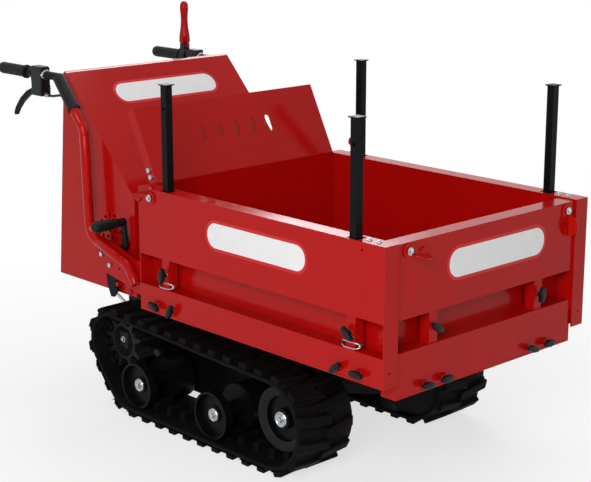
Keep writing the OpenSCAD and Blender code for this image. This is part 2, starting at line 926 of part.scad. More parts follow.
module gearbox() color(cast) placed() {
    top = beam_z + 4 + gearbox_foot;
    difference() {
        union() {
            block([-gearbox_half, sprocket_y - gearbox_reach, sprocket_z - gearbox_low],
                  [gearbox_half, sprocket_y + gearbox_reach, top]);
            block([-beam_x, sprocket_y - gearbox_foot_reach, top - gearbox_foot],
                  [beam_x, sprocket_y + gearbox_foot_reach, top]);
            block([-gearbox_half, sprocket_y - gearbox_half, top - eps],
                  [drive_x - drive_clear, sprocket_y + gearbox_half, input[1] + 3 * gearbox_foot]);
        }
        for (s = [-1, 1])
            on_side(s)
                bar_across(gearbox_half - gearbox_bite - eps, gearbox_half + eps,
                           [sprocket_y, sprocket_z], shaft_r + run_gap);
        bar_across(drive_x - drive_clear - shaft_bite - 2 * eps, drive_x, input, input_shaft_r + run_gap);
    }
}

module pulley(at, r, shaft, shaft_in) {
    flange = 6;
    cheek = 5;
    bar_across(drive_x, drive_x + cheek, at, r + flange);
    bar_across(drive_x + cheek, drive_x + drive_w - cheek, at, r);
    bar_across(drive_x + drive_w - cheek, drive_x + drive_w, at, r + flange);
    bar_across(drive_x - shaft_in, drive_x, at, shaft);
}

module gearbox_pulley() color(steel) placed()
    pulley(input, input_pulley_r, input_shaft_r, drive_clear + shaft_bite);
module engine_pulley() color(steel) placed()
    pulley(crank, crank_pulley_r, crank_shaft_r, engine_clear + shaft_bite);

module drive_belt() color(black) placed() {
    belt = 8;
    side = 6;
    wheel = [[crank, crank_pulley_r], [input, input_pulley_r]];
    across(drive_x + side, drive_x + drive_w - side)
        difference() {
            two_wheel_loop(wheel, belt + face_gap);
            two_wheel_loop(wheel, face_gap);
        }
}

// Outline of a belt round two wheels, grown by off
module two_wheel_loop(w, off) {
    d = w[1][0] - w[0][0];
    u = d / norm(d);
    s = (w[0][1] - w[1][1]) / norm(d);
    c = sqrt(1 - s * s);
    n = [u[1] * c + u[0] * s, u[1] * s - u[0] * c];
    m = [-u[1] * c + u[0] * s, u[1] * s + u[0] * c];
    for (e = w)
        translate(e[0])
            circle(e[1] + off);
    polygon([
        w[0][0] + (w[0][1] + off) * n, w[1][0] + (w[1][1] + off) * n,
        w[1][0] + (w[1][1] + off) * m, w[0][0] + (w[0][1] + off) * m
    ]);
}

engine_x = -190;
engine_in = 78;
engine_y = hood_front + engine_in;
engine_z = hood_z + deck_t;
engine_l = 210;
engine_h = 168;
engine_clear = 12;
head_in = 60;
head_y = engine_y + 30;
head_l = 120;
head_h = 100;
head_base = engine_z + engine_h;
head_top = head_base + head_h;
fin_t = 6;
fin_pitch = 14;
fin_count = floor((head_h - fin_t - fin_pitch / 2) / fin_pitch);
fin_reach = 20;

module engine() color(cast) placed() {
    side = drive_x - engine_clear;
    difference() {
        union() {
            block([engine_x, engine_y, engine_z], [side, engine_y + engine_l, head_base]);
            block([engine_x + head_in, head_y, head_base - eps],
                  [side - head_in / 2, head_y + head_l, head_top]);
            for (k = [0 : fin_count])
                translate([0, 0, head_base + fin_pitch / 2 + k * fin_pitch])
                    block([engine_x + head_in - fin_reach, head_y - fin_reach, 0],
                          [side - head_in / 2 + fin_reach, head_y + head_l + fin_reach, fin_t]);
        }
        bar_across(side - shaft_bite - 2 * eps, drive_x, crank, crank_shaft_r + run_gap);
    }
}

tank_h = 70;
tank_l = 110;
tank_w = 178;
tank_cap_r = 22;
tank_cap_h = 16;

module fuel_tank() color(black) placed() {
    x = engine_x + head_in / 3;
    block([x, head_y + head_in / 2, head_top],
          [x + tank_w, head_y + head_in / 2 + tank_l, head_top + tank_h]);
    translate([engine_x + head_in, head_y + head_in / 2 + tank_l / 2, head_top + tank_h - eps])
        cylinder(h = tank_cap_h, r = tank_cap_r);
}

muffler_r = 50;
muffler_l = 130;
muffler_x = 70;
muffler_in = 160;
muffler_y = engine_y + muffler_in;
muffler_lift = 12;
muffler_foot = 20;

module muffler() color(steel) placed() {
    bar_across(muffler_x, muffler_x + muffler_l, [muffler_y, engine_z + muffler_lift + muffler_r], muffler_r);
    for (x = [muffler_x + muffler_foot, muffler_x + muffler_l - 2 * muffler_foot])
        block([x, muffler_y - muffler_foot, engine_z],
              [x + muffler_foot, muffler_y + muffler_foot, engine_z + muffler_foot]);
}

module latch_striker() color(red) placed() {
    plate_t = 4;
    block([-hood_half - plate_t, striker_at[0] - 30, striker_at[1] - 26],
          [-hood_half, striker_at[0] + 14, striker_at[1] + 18]);
    bar_across(-dump_plate_x - dump_plate_t - 4, -hood_half - plate_t + eps, striker_at, striker_r);
}

module hex_head(x, at, s) {
    head_h = 5;
    head_r = 7;
    translate([x, at[0], at[1]])
        rotate([0, s * 90, 0])
            cylinder(h = head_h, r = head_r, $fn = 6);
}

module chassis_bolts() color(steel) placed() {
    for (s = [-1, 1], y = [hood_front + 74, hood_front + 104])
        hex_head(s * hood_half, [y, hood_z + 18], s);
}

// Tipping bed

tip_rail_w = 30;
tip_rail_x = front_tube_x - guide / 2 - tip_rail_w;
tip_rail_front = tip_y - 30;
tip_rail_rear = rear_y;
tip_h = guide + guide_step;
tip_ys = [tip_y - 20, (tip_y + buffer_y) / 2 - 10, buffer_y];
tip_cross = 40;
tip_wall = 3;

module tip_frame() color(red) placed() {
    difference() {
        union() {
            for (s = [-1, 1])
                on_side(s) {
                    block([tip_rail_x, tip_rail_front, frame_z],
                          [tip_rail_x + tip_rail_w, tip_rail_rear, frame_z + tip_h]);
                    block([beam_x + 2 * lug_t + face_gap, tip_y - tip_cross / 2, tip_z],
                          [beam_x + 3 * lug_t, tip_y + tip_cross / 2, frame_z + eps]);
                    bar_across(beam_x + 2 * lug_t + face_gap, beam_x + 3 * lug_t, [tip_y, tip_z], tip_eye_r);
                }
            for (y = tip_ys)
                block([-tip_rail_x - eps, y, frame_z], [tip_rail_x + eps, y + tip_cross, frame_z + tip_h]);
        }
        bar_across(-half_w, half_w, [tip_y, tip_z], pin_r + run_gap);
        for (s = [-1, 1])
            on_side(s)
                block([tip_rail_x + tip_wall, tip_rail_front - eps, frame_z + tip_wall],
                      [tip_rail_x + tip_rail_w - tip_wall, tip_rail_rear + eps, frame_z + tip_h - tip_wall]);
        for (y = tip_ys)
            block([-tip_rail_x - 2 * tip_wall, y + tip_wall, frame_z + tip_wall],
                  [tip_rail_x + 2 * tip_wall, y + tip_cross - tip_wall, frame_z + tip_h - tip_wall]);
    }
}

module slide_guides() color(red) placed() {
    guide_end = half_w - lip - slide_gap;
    for (y = stake_ys)
        square_tube_x(-guide_end, guide_end, y, side_tube_z, guide, guide_wall);
    for (s = [-1, 1])
        square_tube_y(gate_back + 10, rear_y - 132, s * front_tube_x, front_tube_z, guide, guide_wall);
}

module bed_floor() color(red) placed() {
    block([-gate_half, gate_back + slide_gap, floor_z], [gate_half, rear_y - sheet, floor_top]);
}

module rear_wall() color(red) placed() {
    block([-gate_half, rear_y - sheet, floor_z], [gate_half, rear_y, wall_top + head_rise]);
}

board_foot = 60;
head_rise = 4;
head_z = wall_top + head_rise;
slot_l = 46;
slot_w = 16;
slot_pitch = 58;

// Headboard: a foot behind the rear wall and a slanted board with hand slots
module headboard() color(red) placed() {
    flange_w = 28;
    board_half = gate_half;
    block([-gate_half + 20, rear_y, head_z - board_foot], [gate_half - 20, rear_y + sheet, head_z + eps]);
    translate([0, rear_y, head_z])
        rotate([-headboard_lean, 0, 0])
            difference() {
                union() {
                    block([-board_half, 0, 0], [board_half, sheet, headboard_l]);
                    for (s = [-1, 1])
                        on_side(s)
                            block([board_half - sheet, 0, 0], [board_half, flange_w, headboard_l]);
                    block([-board_half, 0, headboard_l - sheet], [board_half, flange_w / 2, headboard_l]);
                }
                for (k = [-2 : 2])
                    translate([k * slot_pitch, 0, headboard_l * 0.55])
                        hand_slot();
            }
}

module hand_slot() {
    straight = slot_l - slot_w;
    for (s = [-1, 1])
        translate([0, -eps, s * straight / 2])
            rotate([-90, 0, 0])
                cylinder(h = sheet + 2 * eps, r = slot_w / 2);
    block([-slot_w / 2, -eps, -straight / 2], [slot_w / 2, sheet + eps, straight / 2]);
}

pad_x = dump_plate_x - 51;
pad_y = box_l + 3;
pad_h = 98;
pad_strut = 34;

// Dump handle: a bent tube on a plate behind the rear right-hand corner
module dump_plate() {
    translate(rear_corner)
        polygon([
            [3, 14], [3, 98], [90, 104], [150, 122], [248, 144],
            [248, 78], [212, 44], [140, 30], [80, 14]
        ]);
}

module dump_handle() color(red) placed() on_side(-1) {
    pad_top = bed_z + pad_h;
    difference() {
        union() {
            across(dump_plate_x, dump_plate_x + dump_plate_t)
                dump_plate();
            block([pad_x, pad_y, floor_top], [dump_plate_x + eps, pad_y + dump_plate_t, pad_top]);
            for (x = [pad_x, pad_x + pad_strut])
                block([x, rear_y, floor_top], [x + dump_plate_t, pad_y + eps, pad_top]);
            bent_rod(dump_path, dump_bend, dump_r, dump_tube_x);
        }
        bent_rod(dump_path, dump_bend, dump_r - 2.5, dump_tube_x, eps);
        bar_across(dump_plate_x - eps, dump_plate_x + dump_plate_t + eps, latch_pivot, stud_r + run_gap);
        bar_across(dump_plate_x - eps, dump_plate_x + dump_plate_t + eps,
                   rear_corner + dump_hole, dump_hole_r);
    }
}

module dump_grip() color(black) placed() on_side(-1) {
    d = path_dir(dump_path, 0);
    start = dump_path[0] - d * 4;
    difference() {
        translate([dump_tube_x, start[0], start[1]])
            rotate([atan2(d[1], d[0]), 0, 0])
                rotate([-90, 0, 0])
                    cylinder(h = dump_grip_l, r = dump_r + 4);
        translate([dump_tube_x, dump_path[0][0], dump_path[0][1]])
            rotate([atan2(d[1], d[0]), 0, 0])
                rotate([-90, 0, 0])
                    cylinder(h = dump_grip_l, r = dump_r + run_gap);
    }
}

module tray_bolts() color(steel) placed() {
    board_half = gate_half;
    for (s = [-1, 1], k = [20, 38])
        translate([0, rear_y, head_z])
            rotate([-headboard_lean, 0, 0])
                hex_head(s * board_half, [14, k], s);
    for (p = dump_bolts)
        hex_head(-dump_plate_x - dump_plate_t, p + rear_corner, -1);
    bar_across(-dump_plate_x - dump_plate_t, -latch_x + 3, latch_pivot, stud_r);
    hex_head(-dump_plate_x - dump_plate_t, latch_pivot, -1);
}

// Bed latch: a lever on the dump plate whose hook swings under the striker
function turned(p, a) = [p[0] * cos(a) - p[1] * sin(a), p[0] * sin(a) + p[1] * cos(a)];
hook_points = [
    [16, -4], [22, -30], [10, -64], [-12, -90], [-24, -86], [-36, -58], [-22, -55], [-21, -37],
    [-32, -32], [-13, -4]
];

module latch_lever() color(black) placed() on_side(-1) {
    arm_w = 18;
    eye_r = 16;
    reach = latch_knob_at - latch_pivot;
    arm_points = [
        reach + [-arm_w, -62], reach + [-arm_w / 2, 0], reach + [arm_w / 2, 0], reach + [arm_w * 0.4, -60]
    ];
    difference() {
        union() {
            across(latch_x, latch_x + latch_t)
                translate(latch_pivot)
                    polygon(concat([for (p = hook_points) turned(p, latch_open)], arm_points));
            bar_across(latch_x, latch_x + latch_t, latch_pivot, eye_r);
            bar_across(latch_x, latch_x + latch_t, latch_knob_at, arm_w / 2 + 2);
        }
        bar_across(latch_x - eps, latch_x + latch_t + eps, latch_pivot, stud_r + run_gap);
    }
}

module latch_grip() color(black) placed() on_side(-1) {
    translate([latch_x + latch_t, latch_knob_at[0], latch_knob_at[1]])
        rotate([0, 90, 0])
            rotate_extrude()
                polygon([
                    [0, 0], [latch_grip_r - 5, 0], [latch_grip_r, latch_grip_l * 0.3],
                    [latch_grip_r, latch_grip_l - 4], [latch_grip_r - 5, latch_grip_l], [0, latch_grip_l]
                ]);
}

// Side walls

latch_drop = 22;
latch_z = wall_top - latch_drop;
rear_latch_in = 52;
rear_latch_y = box_l - rear_latch_in;

module side_wall() {
    floor_leaf_y = [gate_back + leaf_w + 14, rear_y - sheet - 3];
    difference() {
        union() {
            block([half_w - sheet, 0, wall_top - panel_h], [half_w, box_l, wall_top]);
            block([inner_w, 0, wall_top - sheet], [half_w, box_l, wall_top]);
            block([inner_w, 0, leaf_z], [inner_w + sheet, box_l, wall_top]);
            block([inner_w, 0, bed_z], [half_w, sheet, wall_top]);
            block([inner_w, box_l - sheet, bed_z], [half_w, box_l, wall_top]);
            block([half_w - sheet, 0, bed_z], [half_w, box_l, bed_z + rail_h]);
            block([inner_w, 0, bed_z + rail_h - sheet], [half_w, box_l, bed_z + rail_h]);
            block([half_w - lip, 0, bed_z], [half_w, box_l, bed_z + sheet]);
            block([inner_w - leaf_w, floor_leaf_y[0], leaf_z],
                  [inner_w + eps, floor_leaf_y[1], leaf_z + sheet]);
            for (y = stake_ys)
                block([stake_x - socket / 2, y - socket / 2, bed_z + rail_h - eps],
                      [stake_x + socket / 2, y + socket / 2, wall_top - eps]);
            bar_across(half_w - eps, half_w + stud_l, [rear_latch_y, latch_z], stud_r);
        }
        for (y = stake_ys) {
            block([stake_x - socket_bore / 2, y - socket_bore / 2, bed_z + rail_h],
                  [stake_x + socket_bore / 2, y + socket_bore / 2, wall_top + eps]);
            block([stake_x - stake_slot / 2, y - stake_slot / 2, wall_top - sheet],
                  [half_w - sheet, y + stake_slot / 2, wall_top + eps]);
            bar_across(stake_x, half_w, [y, socket_knob_z], knob_hole_r);
            translate([stake_x, y - socket, clip_z])
                rotate([-90, 0, 0])
                    cylinder(h = 2 * socket, r = clip_r + run_gap);
            for (k = [-1, 1])
                bar_across(half_w - 2 * sheet, half_w + eps, [y + k * knob_pair, rail_knob_z], knob_hole_r);
        }
        translate([half_w - tie_in, -eps, bed_z + tie_low])
            rotate([-90, 0, 0])
                cylinder(h = sheet + 2 * eps, r = tie_r);
        bar_across(half_w - sheet - eps, half_w + eps, [tie_back, wall_top - tie_in], tie_r);
    }
}

module right_side() color(red) placed() on_side(-1) side_wall();
module left_side() color(red) placed() on_side(1) side_wall();

plate_t = 4;
side_tube_in = 110;
tube_l = extend + side_tube_in;

module side_tubes() {
    for (y = stake_ys)
        difference() {
            union() {
                block([half_w - sheet - plate_t, y - knob_pair - 12, side_tube_z - 15],
                      [half_w - sheet, y + knob_pair + 12, side_tube_z + 15]);
                square_tube_x(half_w - sheet - plate_t - tube_l, half_w - sheet - plate_t + eps,
                              y, side_tube_z, tube, tube_wall);
            }
            for (k = [-1, 1])
                bar_across(half_w - 3 * sheet - plate_t, half_w,
                           [y + k * knob_pair, rail_knob_z], knob_hole_r);
        }
}

module right_slide_tubes() color(steel) placed() on_side(-1) side_tubes();
module left_slide_tubes() color(steel) placed() on_side(1) side_tubes();

// Wing knobs of a side wall: a pair on each tube's end plate and one on each stake socket
module side_knobs() {
    turns = [[95, 45, 130], [25, 108, 5]];
    for (i = [0, 1]) {
        for (k = [0, 1])
            translate([half_w, stake_ys[i] + (2 * k - 1) * knob_pair, rail_knob_z])
                rotate([0, 90, 0])
                    wing_knob(turns[i][k], sheet + plate_t);
        translate([stake_x + socket / 2, stake_ys[i], socket_knob_z])
            rotate([0, 90, 0])
                wing_knob(turns[i][2], socket_wall);
    }
}

module right_knobs() color(black) placed() on_side(-1) side_knobs();
module left_knobs() color(black) placed() on_side(1) side_knobs();

// Clip pin through a socket, with a wire bail round its outer face
module side_clips() {
    wire = 2 * clip_r + 0.4;
    loop_w = socket + 14;
    loop_l = socket / 2 + 8;
    for (y = stake_ys) {
        translate([stake_x, y - loop_w / 2 + clip_r, clip_z])
            rotate([-90, 0, 0])
                cylinder(h = loop_w - 2 * clip_r, r = clip_r);
        translate([stake_x - clip_r - 1, y - loop_w / 2, clip_z - wire / 2])
            linear_extrude(wire)
                difference() {
                    square([loop_l, loop_w]);
                    translate([-eps, wire])
                        square([loop_l - wire + eps, loop_w - 2 * wire]);
                }
    }
}

module right_clips() color(steel) placed() on_side(-1) side_clips();
module left_clips() color(steel) placed() on_side(1) side_clips();

// Stakes stand in the sockets on the clip pins
module stake_post(y) {
    cap_t = 3;
    cap = stake + 8;
    top = wall_top + stake_rise;
    difference() {
        union() {
            block([stake_x - stake / 2, y - stake / 2, stake_foot],
                  [stake_x + stake / 2, y + stake / 2, top]);
            block([stake_x - cap / 2, y - cap / 2, top - cap_t], [stake_x + cap / 2, y + cap / 2, top]);
        }
        block([stake_x - stake / 2 + 2, y - stake / 2 + 2, stake_foot - eps],
              [stake_x + stake / 2 - 2, y + stake / 2 - 2, top - cap_t]);
        bar_across(stake_x - stake, stake_x + stake, [y, top - 60], 4);
    }
}

module right_front_stake() color(black) placed() on_side(-1) stake_post(stake_ys[0]);
module right_rear_stake() color(black) placed() on_side(-1) stake_post(stake_ys[1]);
module left_front_stake() color(black) placed() on_side(1) stake_post(stake_ys[0]);
module left_rear_stake() color(black) placed() on_side(1) stake_post(stake_ys[1]);

// Front gate

gate_latch_in = 31.8;
gate_latch_x = gate_half - gate_latch_in;

module front_gate() color(red) placed() {
    difference() {
        union() {
            block([-gate_half, gate_y, gate_top - panel_h], [gate_half, gate_y + sheet, gate_top]);
            block([-gate_half, gate_y, gate_top - sheet], [gate_half, gate_back, gate_top]);
            block([-gate_half, gate_back - sheet, leaf_z], [gate_half, gate_back, gate_top]);
            block([-gate_half, gate_y, front_rail_z], [gate_half, gate_y + sheet, bed_z + rail_h]);
            block([-gate_half, gate_y, bed_z + rail_h - sheet], [gate_half, gate_back, bed_z + rail_h]);
            block([-gate_half, gate_y, front_rail_z], [gate_half, gate_y + lip, front_rail_z + sheet]);
            block([-gate_half, gate_back - eps, leaf_z], [gate_half, gate_back + leaf_w, leaf_z + sheet]);
            for (s = [-1, 1])
                on_side(s) {
                    block([gate_half - sheet, gate_y, front_rail_z], [gate_half, gate_back, gate_top]);
                    block([front_tube_x - socket / 2, gate_y + socket_inset, bed_z + rail_h - eps],
                          [front_tube_x + socket / 2, gate_y + socket_inset + socket, gate_top - eps]);
                    translate([gate_latch_x, gate_y + eps, latch_z])
                        rotate([90, 0, 0])
                            cylinder(h = stud_l + eps, r = stud_r);
                }
        }
        for (s = [-1, 1])
            on_side(s) {
                block([front_tube_x - socket_bore / 2, gate_y + socket_inset + socket_wall, bed_z + rail_h],
                      [front_tube_x + socket_bore / 2, gate_y + socket_inset + socket - socket_wall,
                       gate_top - sheet - eps]);
                translate([front_tube_x, gate_y, socket_knob_z])
                    rotate([-90, 0, 0])
                        cylinder(h = socket_inset + socket_wall + eps, r = knob_hole_r);
                for (k = [-1, 1])
                    translate([front_tube_x + k * knob_pair, gate_y - eps, front_tube_z])
                        rotate([-90, 0, 0])
                            cylinder(h = sheet + 2 * eps, r = knob_hole_r);
            }
    }
}

front_tube_in = 220;
front_tube_l = extend + front_tube_in;

module front_slide_tubes() color(steel) placed() {
    y0 = gate_y + sheet;
    for (s = [-1, 1])
        on_side(s)
            difference() {
                union() {
                    block([front_tube_x - knob_pair - 12, y0, front_tube_z - 12],
                          [front_tube_x + knob_pair + 12, y0 + plate_t, front_tube_z + 12]);
                    square_tube_y(y0 + plate_t - eps, y0 + plate_t + front_tube_l,
                                  front_tube_x, front_tube_z, tube, tube_wall);
                }
                for (k = [-1, 1])
                    translate([front_tube_x + k * knob_pair, y0 - eps, front_tube_z])
                        rotate([-90, 0, 0])
                            cylinder(h = plate_t + 2 * eps, r = knob_hole_r);
            }
}

module front_knobs() color(black) placed() {
    turns = [[-5, 3, -35], [-18, 2, 80]];
    for (i = [0, 1]) {
        x = (2 * i - 1) * front_tube_x;
        for (k = [0, 1])
            translate([x + (2 * k - 1) * knob_pair, gate_y, front_tube_z])
                rotate([90, 0, 0])
                    wing_knob(turns[i][k], sheet + plate_t);
        translate([x, gate_y + socket_inset, socket_knob_z])
            rotate([90, 0, 0])
                wing_knob(turns[i][2], socket_wall);
    }
}

// Corner latch: an eye on a stud, a hooked arm and a thumb leaf bent out along Z
latch_eye_r = 16;
latch_arm_l = 64;
latch_arm_t = 4;
latch_fold = 11;
latch_hook = [[0, -15], [16, -15], [34, 2], [49, -11], [61, -5], [64, 7], [64, 11], [20, 11], [0, 15]];

module corner_latch() {
    round_at = latch_leaf_l - latch_leaf_w / 2;
    difference() {
        union() {
            translate([0, 0, face_gap])
                linear_extrude(latch_arm_t) {
                    circle(latch_eye_r);
                    polygon(latch_hook);
                }
            translate([latch_arm_l - latch_leaf_w, latch_fold - latch_leaf_t, latch_leaf_lift])
                rotate([latch_leaf_bend, 0, 0])
                    linear_extrude(latch_leaf_t) {
                        square([latch_leaf_w, round_at]);
                        intersection() {
                            translate([latch_leaf_w / 2, round_at])
                                circle(latch_leaf_w / 2);
                            translate([-eps, 0])
                                square([latch_leaf_w + 2 * eps, latch_leaf_l + eps]);
                        }
                    }
        }
        translate([0, 0, -eps])
            cylinder(h = stud_l + 2 * eps, r = stud_r + run_gap);
    }
}

module side_latch(turn) {
    translate([half_w, rear_latch_y, latch_z])
        rotate([90, 0, 90])
            rotate([0, 0, turn])
                corner_latch();
}

module gate_latch(turn) {
    translate([gate_latch_x, gate_y, latch_z])
        rotate([90, 0, 0])
            rotate([0, 0, turn])
                corner_latch();
}

module right_front_latch() color(red) placed() on_side(-1) gate_latch(190);
module left_front_latch() color(red) placed() on_side(1) gate_latch(-90);
module right_rear_latch() color(red) placed() on_side(-1) side_latch(-8);
module left_rear_latch() color(red) placed() on_side(1) side_latch(80);

chassis_frame();
right_track_frame();
left_track_frame();
right_track();
left_track();
hood();
handlebars();
grips();
lever_brackets();
engine();
muffler();
fuel_tank();
gearbox();
drive_belt();
latch_striker();
chassis_bolts();
control_cables();
right_sprocket();
left_sprocket();
right_idler();
left_idler();
right_front_roller();
right_rear_roller();
left_front_roller();
left_rear_roller();
engine_pulley();
gearbox_pulley();
tip_frame();
tip_pin();
bed_floor();
rear_wall();
headboard();
slide_guides();
dump_handle();
dump_grip();
tray_bolts();
latch_lever();
latch_grip();
right_side();
right_slide_tubes();
right_knobs();
right_clips();
left_side();
left_slide_tubes();
left_knobs();
left_clips();
front_gate();
front_slide_tubes();
front_knobs();
right_front_stake();
right_rear_stake();
left_front_stake();
left_rear_stake();
right_front_latch();
left_front_latch();
right_rear_latch();
left_rear_latch();
right_lever();
left_lever();
clutch_lever();
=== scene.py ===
# %% [markdown]
# # A tracked carrier, dressed in Blender
# The shapes come from CAD as a fixed frame, one object for each part. This lesson gives every part its
# finish and adds the small pieces that CAD leaves plain: bolts, moulded knobs, ribbed grips, wire clips,
# hub caps, labels and weld marks. We work in metres, in the frame of the CAD model.

# %% Load the frame
import json
import math
import bpy
import bmesh
from mathutils import Matrix, Vector


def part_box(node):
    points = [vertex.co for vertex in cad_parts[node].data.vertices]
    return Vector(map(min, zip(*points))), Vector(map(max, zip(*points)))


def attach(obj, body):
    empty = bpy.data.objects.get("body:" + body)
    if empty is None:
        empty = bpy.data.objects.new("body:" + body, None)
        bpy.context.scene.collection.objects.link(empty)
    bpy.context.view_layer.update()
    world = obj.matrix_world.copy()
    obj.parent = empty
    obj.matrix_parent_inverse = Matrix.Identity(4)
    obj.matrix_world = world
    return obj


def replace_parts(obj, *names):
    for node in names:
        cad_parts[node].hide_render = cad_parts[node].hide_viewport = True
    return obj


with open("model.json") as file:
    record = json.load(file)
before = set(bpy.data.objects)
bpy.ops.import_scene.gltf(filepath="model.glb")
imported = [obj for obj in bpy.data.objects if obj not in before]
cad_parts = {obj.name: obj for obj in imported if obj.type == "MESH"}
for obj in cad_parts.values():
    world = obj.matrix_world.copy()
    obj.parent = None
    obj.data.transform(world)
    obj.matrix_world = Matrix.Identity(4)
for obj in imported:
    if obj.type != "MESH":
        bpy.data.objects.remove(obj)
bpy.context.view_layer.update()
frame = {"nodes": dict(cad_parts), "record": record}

# %% [markdown]
# ## Places
# The drawing measures from the front of the load box, in millimetres, and then moves the whole machine so
# that its middle is the origin. We repeat that move once here, so that a bolt can be placed with the
# numbers of the drawing. +X is the operator's left, +Y is to the rear and +Z is up.

# %% From the drawing to the frame
MM = 0.001
ORIGIN = Vector((6.3543, -776.5543, 0))
BED_Z = 325.363
WALL_TOP = BED_Z + 320
HALF_W = 357
GATE_Y = 6
SIDES = (("right", -1), ("left", 1))
UP = (0, 0, 1)
FRONT = (0, -1, 0)
REAR = (0, 1, 0)


def at(x, y, z):
    """A point of the drawing, in millimetres, as metres in the frame."""
    return (Vector((x, y, z)) + ORIGIN) * MM


# %% [markdown]
# ## Camera
# The photograph was taken with a long lens from the front right-hand corner, a little above the handles.
# A camera could be placed by eye, but the edges of the load box fix it: the place, the turn and the lens
# below were fitted to them.

# %% Camera
scene = bpy.context.scene
PHOTO_W = 591
FOCAL_PX = 1491.2
camera_data = bpy.data.cameras.new("photo_camera")
camera_data.sensor_fit = "HORIZONTAL"
camera_data.sensor_width = 36
camera_data.lens = FOCAL_PX / PHOTO_W * camera_data.sensor_width
camera = bpy.data.objects.new("photo_camera", camera_data)
camera.location = at(-2580, -2077, 1104 + BED_Z)
camera.rotation_euler = (math.radians(90 - 14.222), 0, math.radians(-43.378))
scene.collection.objects.link(camera)
scene.camera = camera
print("lens", round(camera_data.lens, 1), "mm at", [round(v, 2) for v in camera.location])

# %% [markdown]
# ## Tools for finishes
# A finish is a node tree. One helper turns a colour from a paint chart, written as sRGB hex, into the linear
# colour that the renderer wants. One adds a node with its settings and links. Every pattern reads Object
# coordinates, in metres, so a scale is one over a real size.

# %% Colour and node helpers


def linear(hex_colour):
    """An sRGB hex colour as linear RGBA."""
    parts = [int(hex_colour[i : i + 2], 16) / 255 for i in (1, 3, 5)]
    return [c / 12.92 if c <= 0.04045 else ((c + 0.055) / 1.055) ** 2.4 for c in parts] + [1]


def add(tree, kind, inputs=None, **settings):
    """A node with its settings; an input is a value, or another node's output to link."""
    made = tree.nodes.new(kind)
    for key, value in settings.items():
        setattr(made, key, value)
    for key, value in (inputs or {}).items():
        if isinstance(value, bpy.types.NodeSocket):
            tree.links.new(value, made.inputs[key])
        else:
            made.inputs[key].default_value = value
    return made


def new_finish(name):
    """An empty material, its tree and the Object coordinates that its patterns read."""
    finish = bpy.data.materials.new(name)
    finish.use_nodes = True
    finish.node_tree.nodes.clear()
    place = add(finish.node_tree, "ShaderNodeTexCoord").outputs["Object"]
    return finish, finish.node_tree, place


print("red 50% is", round(linear("#800000")[0], 3), "in linear light")

# %% [markdown]
# ## Red powder coat
# The sheet steel is powder coated: a thick plastic paint that was baked on. To the eye that is a deep red
# under a clear gloss, with the faint waviness that painters call orange peel, about 3 mm across. That is too
# fine for this picture, so it is drawn at 14 mm. A broad drift of colour, a hand's width across, keeps big
# sheets from looking printed. A photograph of paint could give all this, but noise needs no file and has no
# seams. A mix node's colour sockets are number 6 and 7, and its colour output is 2.

# %% Red powder coat
RED_COAT, tree, place = new_finish("red_powder_coat")
drift = add(tree, "ShaderNodeTexNoise", {"Vector": place, "Scale": 1 / (170 * MM), "Detail": 2.0})
haze = add(tree, "ShaderNodeTexNoise", {"Vector": place, "Scale": 1 / (40 * MM), "Detail": 4.0})
peel = add(tree, "ShaderNodeTexNoise", {"Vector": place, "Scale": 1 / (14 * MM), "Detail": 1.0})
tint = add(
    tree, "ShaderNodeMix", {0: drift.outputs["Fac"], 6: linear("#A60906"), 7: linear("#B50C08")}, data_type="RGBA"
)
gloss = add(
    tree, "ShaderNodeMapRange",
    {"Value": haze.outputs["Fac"], "From Min": 0.3, "From Max": 0.7, "To Min": 0.13, "To Max": 0.2},
)
waves = add(tree, "ShaderNodeBump", {"Height": peel.outputs["Fac"], "Distance": 0.05 * MM, "Strength": 0.25})
coat = add(
    tree, "ShaderNodeBsdfPrincipled",
    {
        "Base Color": tint.outputs[2], "Roughness": gloss.outputs["Result"], "Normal": waves.outputs["Normal"],
        "IOR": 1.42, "Specular IOR Level": 0.18,
    },
)
add(tree, "ShaderNodeOutputMaterial", {"Surface": coat.outputs["BSDF"]})
print(RED_COAT.name)

# %% [markdown]
# ## Black enamel
# Wheels, stakes, handlebars and frames are steel with a thin black stoving enamel. It is nearly black, with
# a soft gloss that shows fine ripples, about 9 mm across, and a little dust greys it in blots as wide as a
# hand's palm. One noise drives both colour and gloss, because dust dulls a surface where it greys it.

# %% Black enamel
BLACK_ENAMEL, tree, place = new_finish("black_stoving_enamel")
dust = add(tree, "ShaderNodeTexNoise", {"Vector": place, "Scale": 1 / (60 * MM), "Detail": 5.0})
ripple = add(tree, "ShaderNodeTexNoise", {"Vector": place, "Scale": 1 / (9 * MM), "Detail": 1.0})
tint = add(
    tree, "ShaderNodeMix", {0: dust.outputs["Fac"], 6: linear("#070708"), 7: linear("#101011")}, data_type="RGBA"
)
gloss = add(
    tree, "ShaderNodeMapRange",
    {"Value": dust.outputs["Fac"], "From Min": 0.3, "From Max": 0.7, "To Min": 0.3, "To Max": 0.42},
)
waves = add(tree, "ShaderNodeBump", {"Height": ripple.outputs["Fac"], "Distance": 0.04 * MM, "Strength": 0.3})
enamel = add(
    tree, "ShaderNodeBsdfPrincipled",
    {
        "Base Color": tint.outputs[2], "Roughness": gloss.outputs["Result"], "Normal": waves.outputs["Normal"],
        "IOR": 1.45, "Specular IOR Level": 0.08,
    },
)
add(tree, "ShaderNodeOutputMaterial", {"Surface": enamel.outputs["BSDF"]})
print(BLACK_ENAMEL.name)

# %% [markdown]
# ## Track rubber
# The tracks are moulded rubber, filled with soot and vulcanised in a sand-blasted mould. That leaves a matt,
# finely pebbled skin, about 1 mm across. It is drawn at 4 mm so that it shows. A brownish bloom lies on it
# in blots as wide as a hand. Voronoi cells make the pebbles, where noise would look like felt.

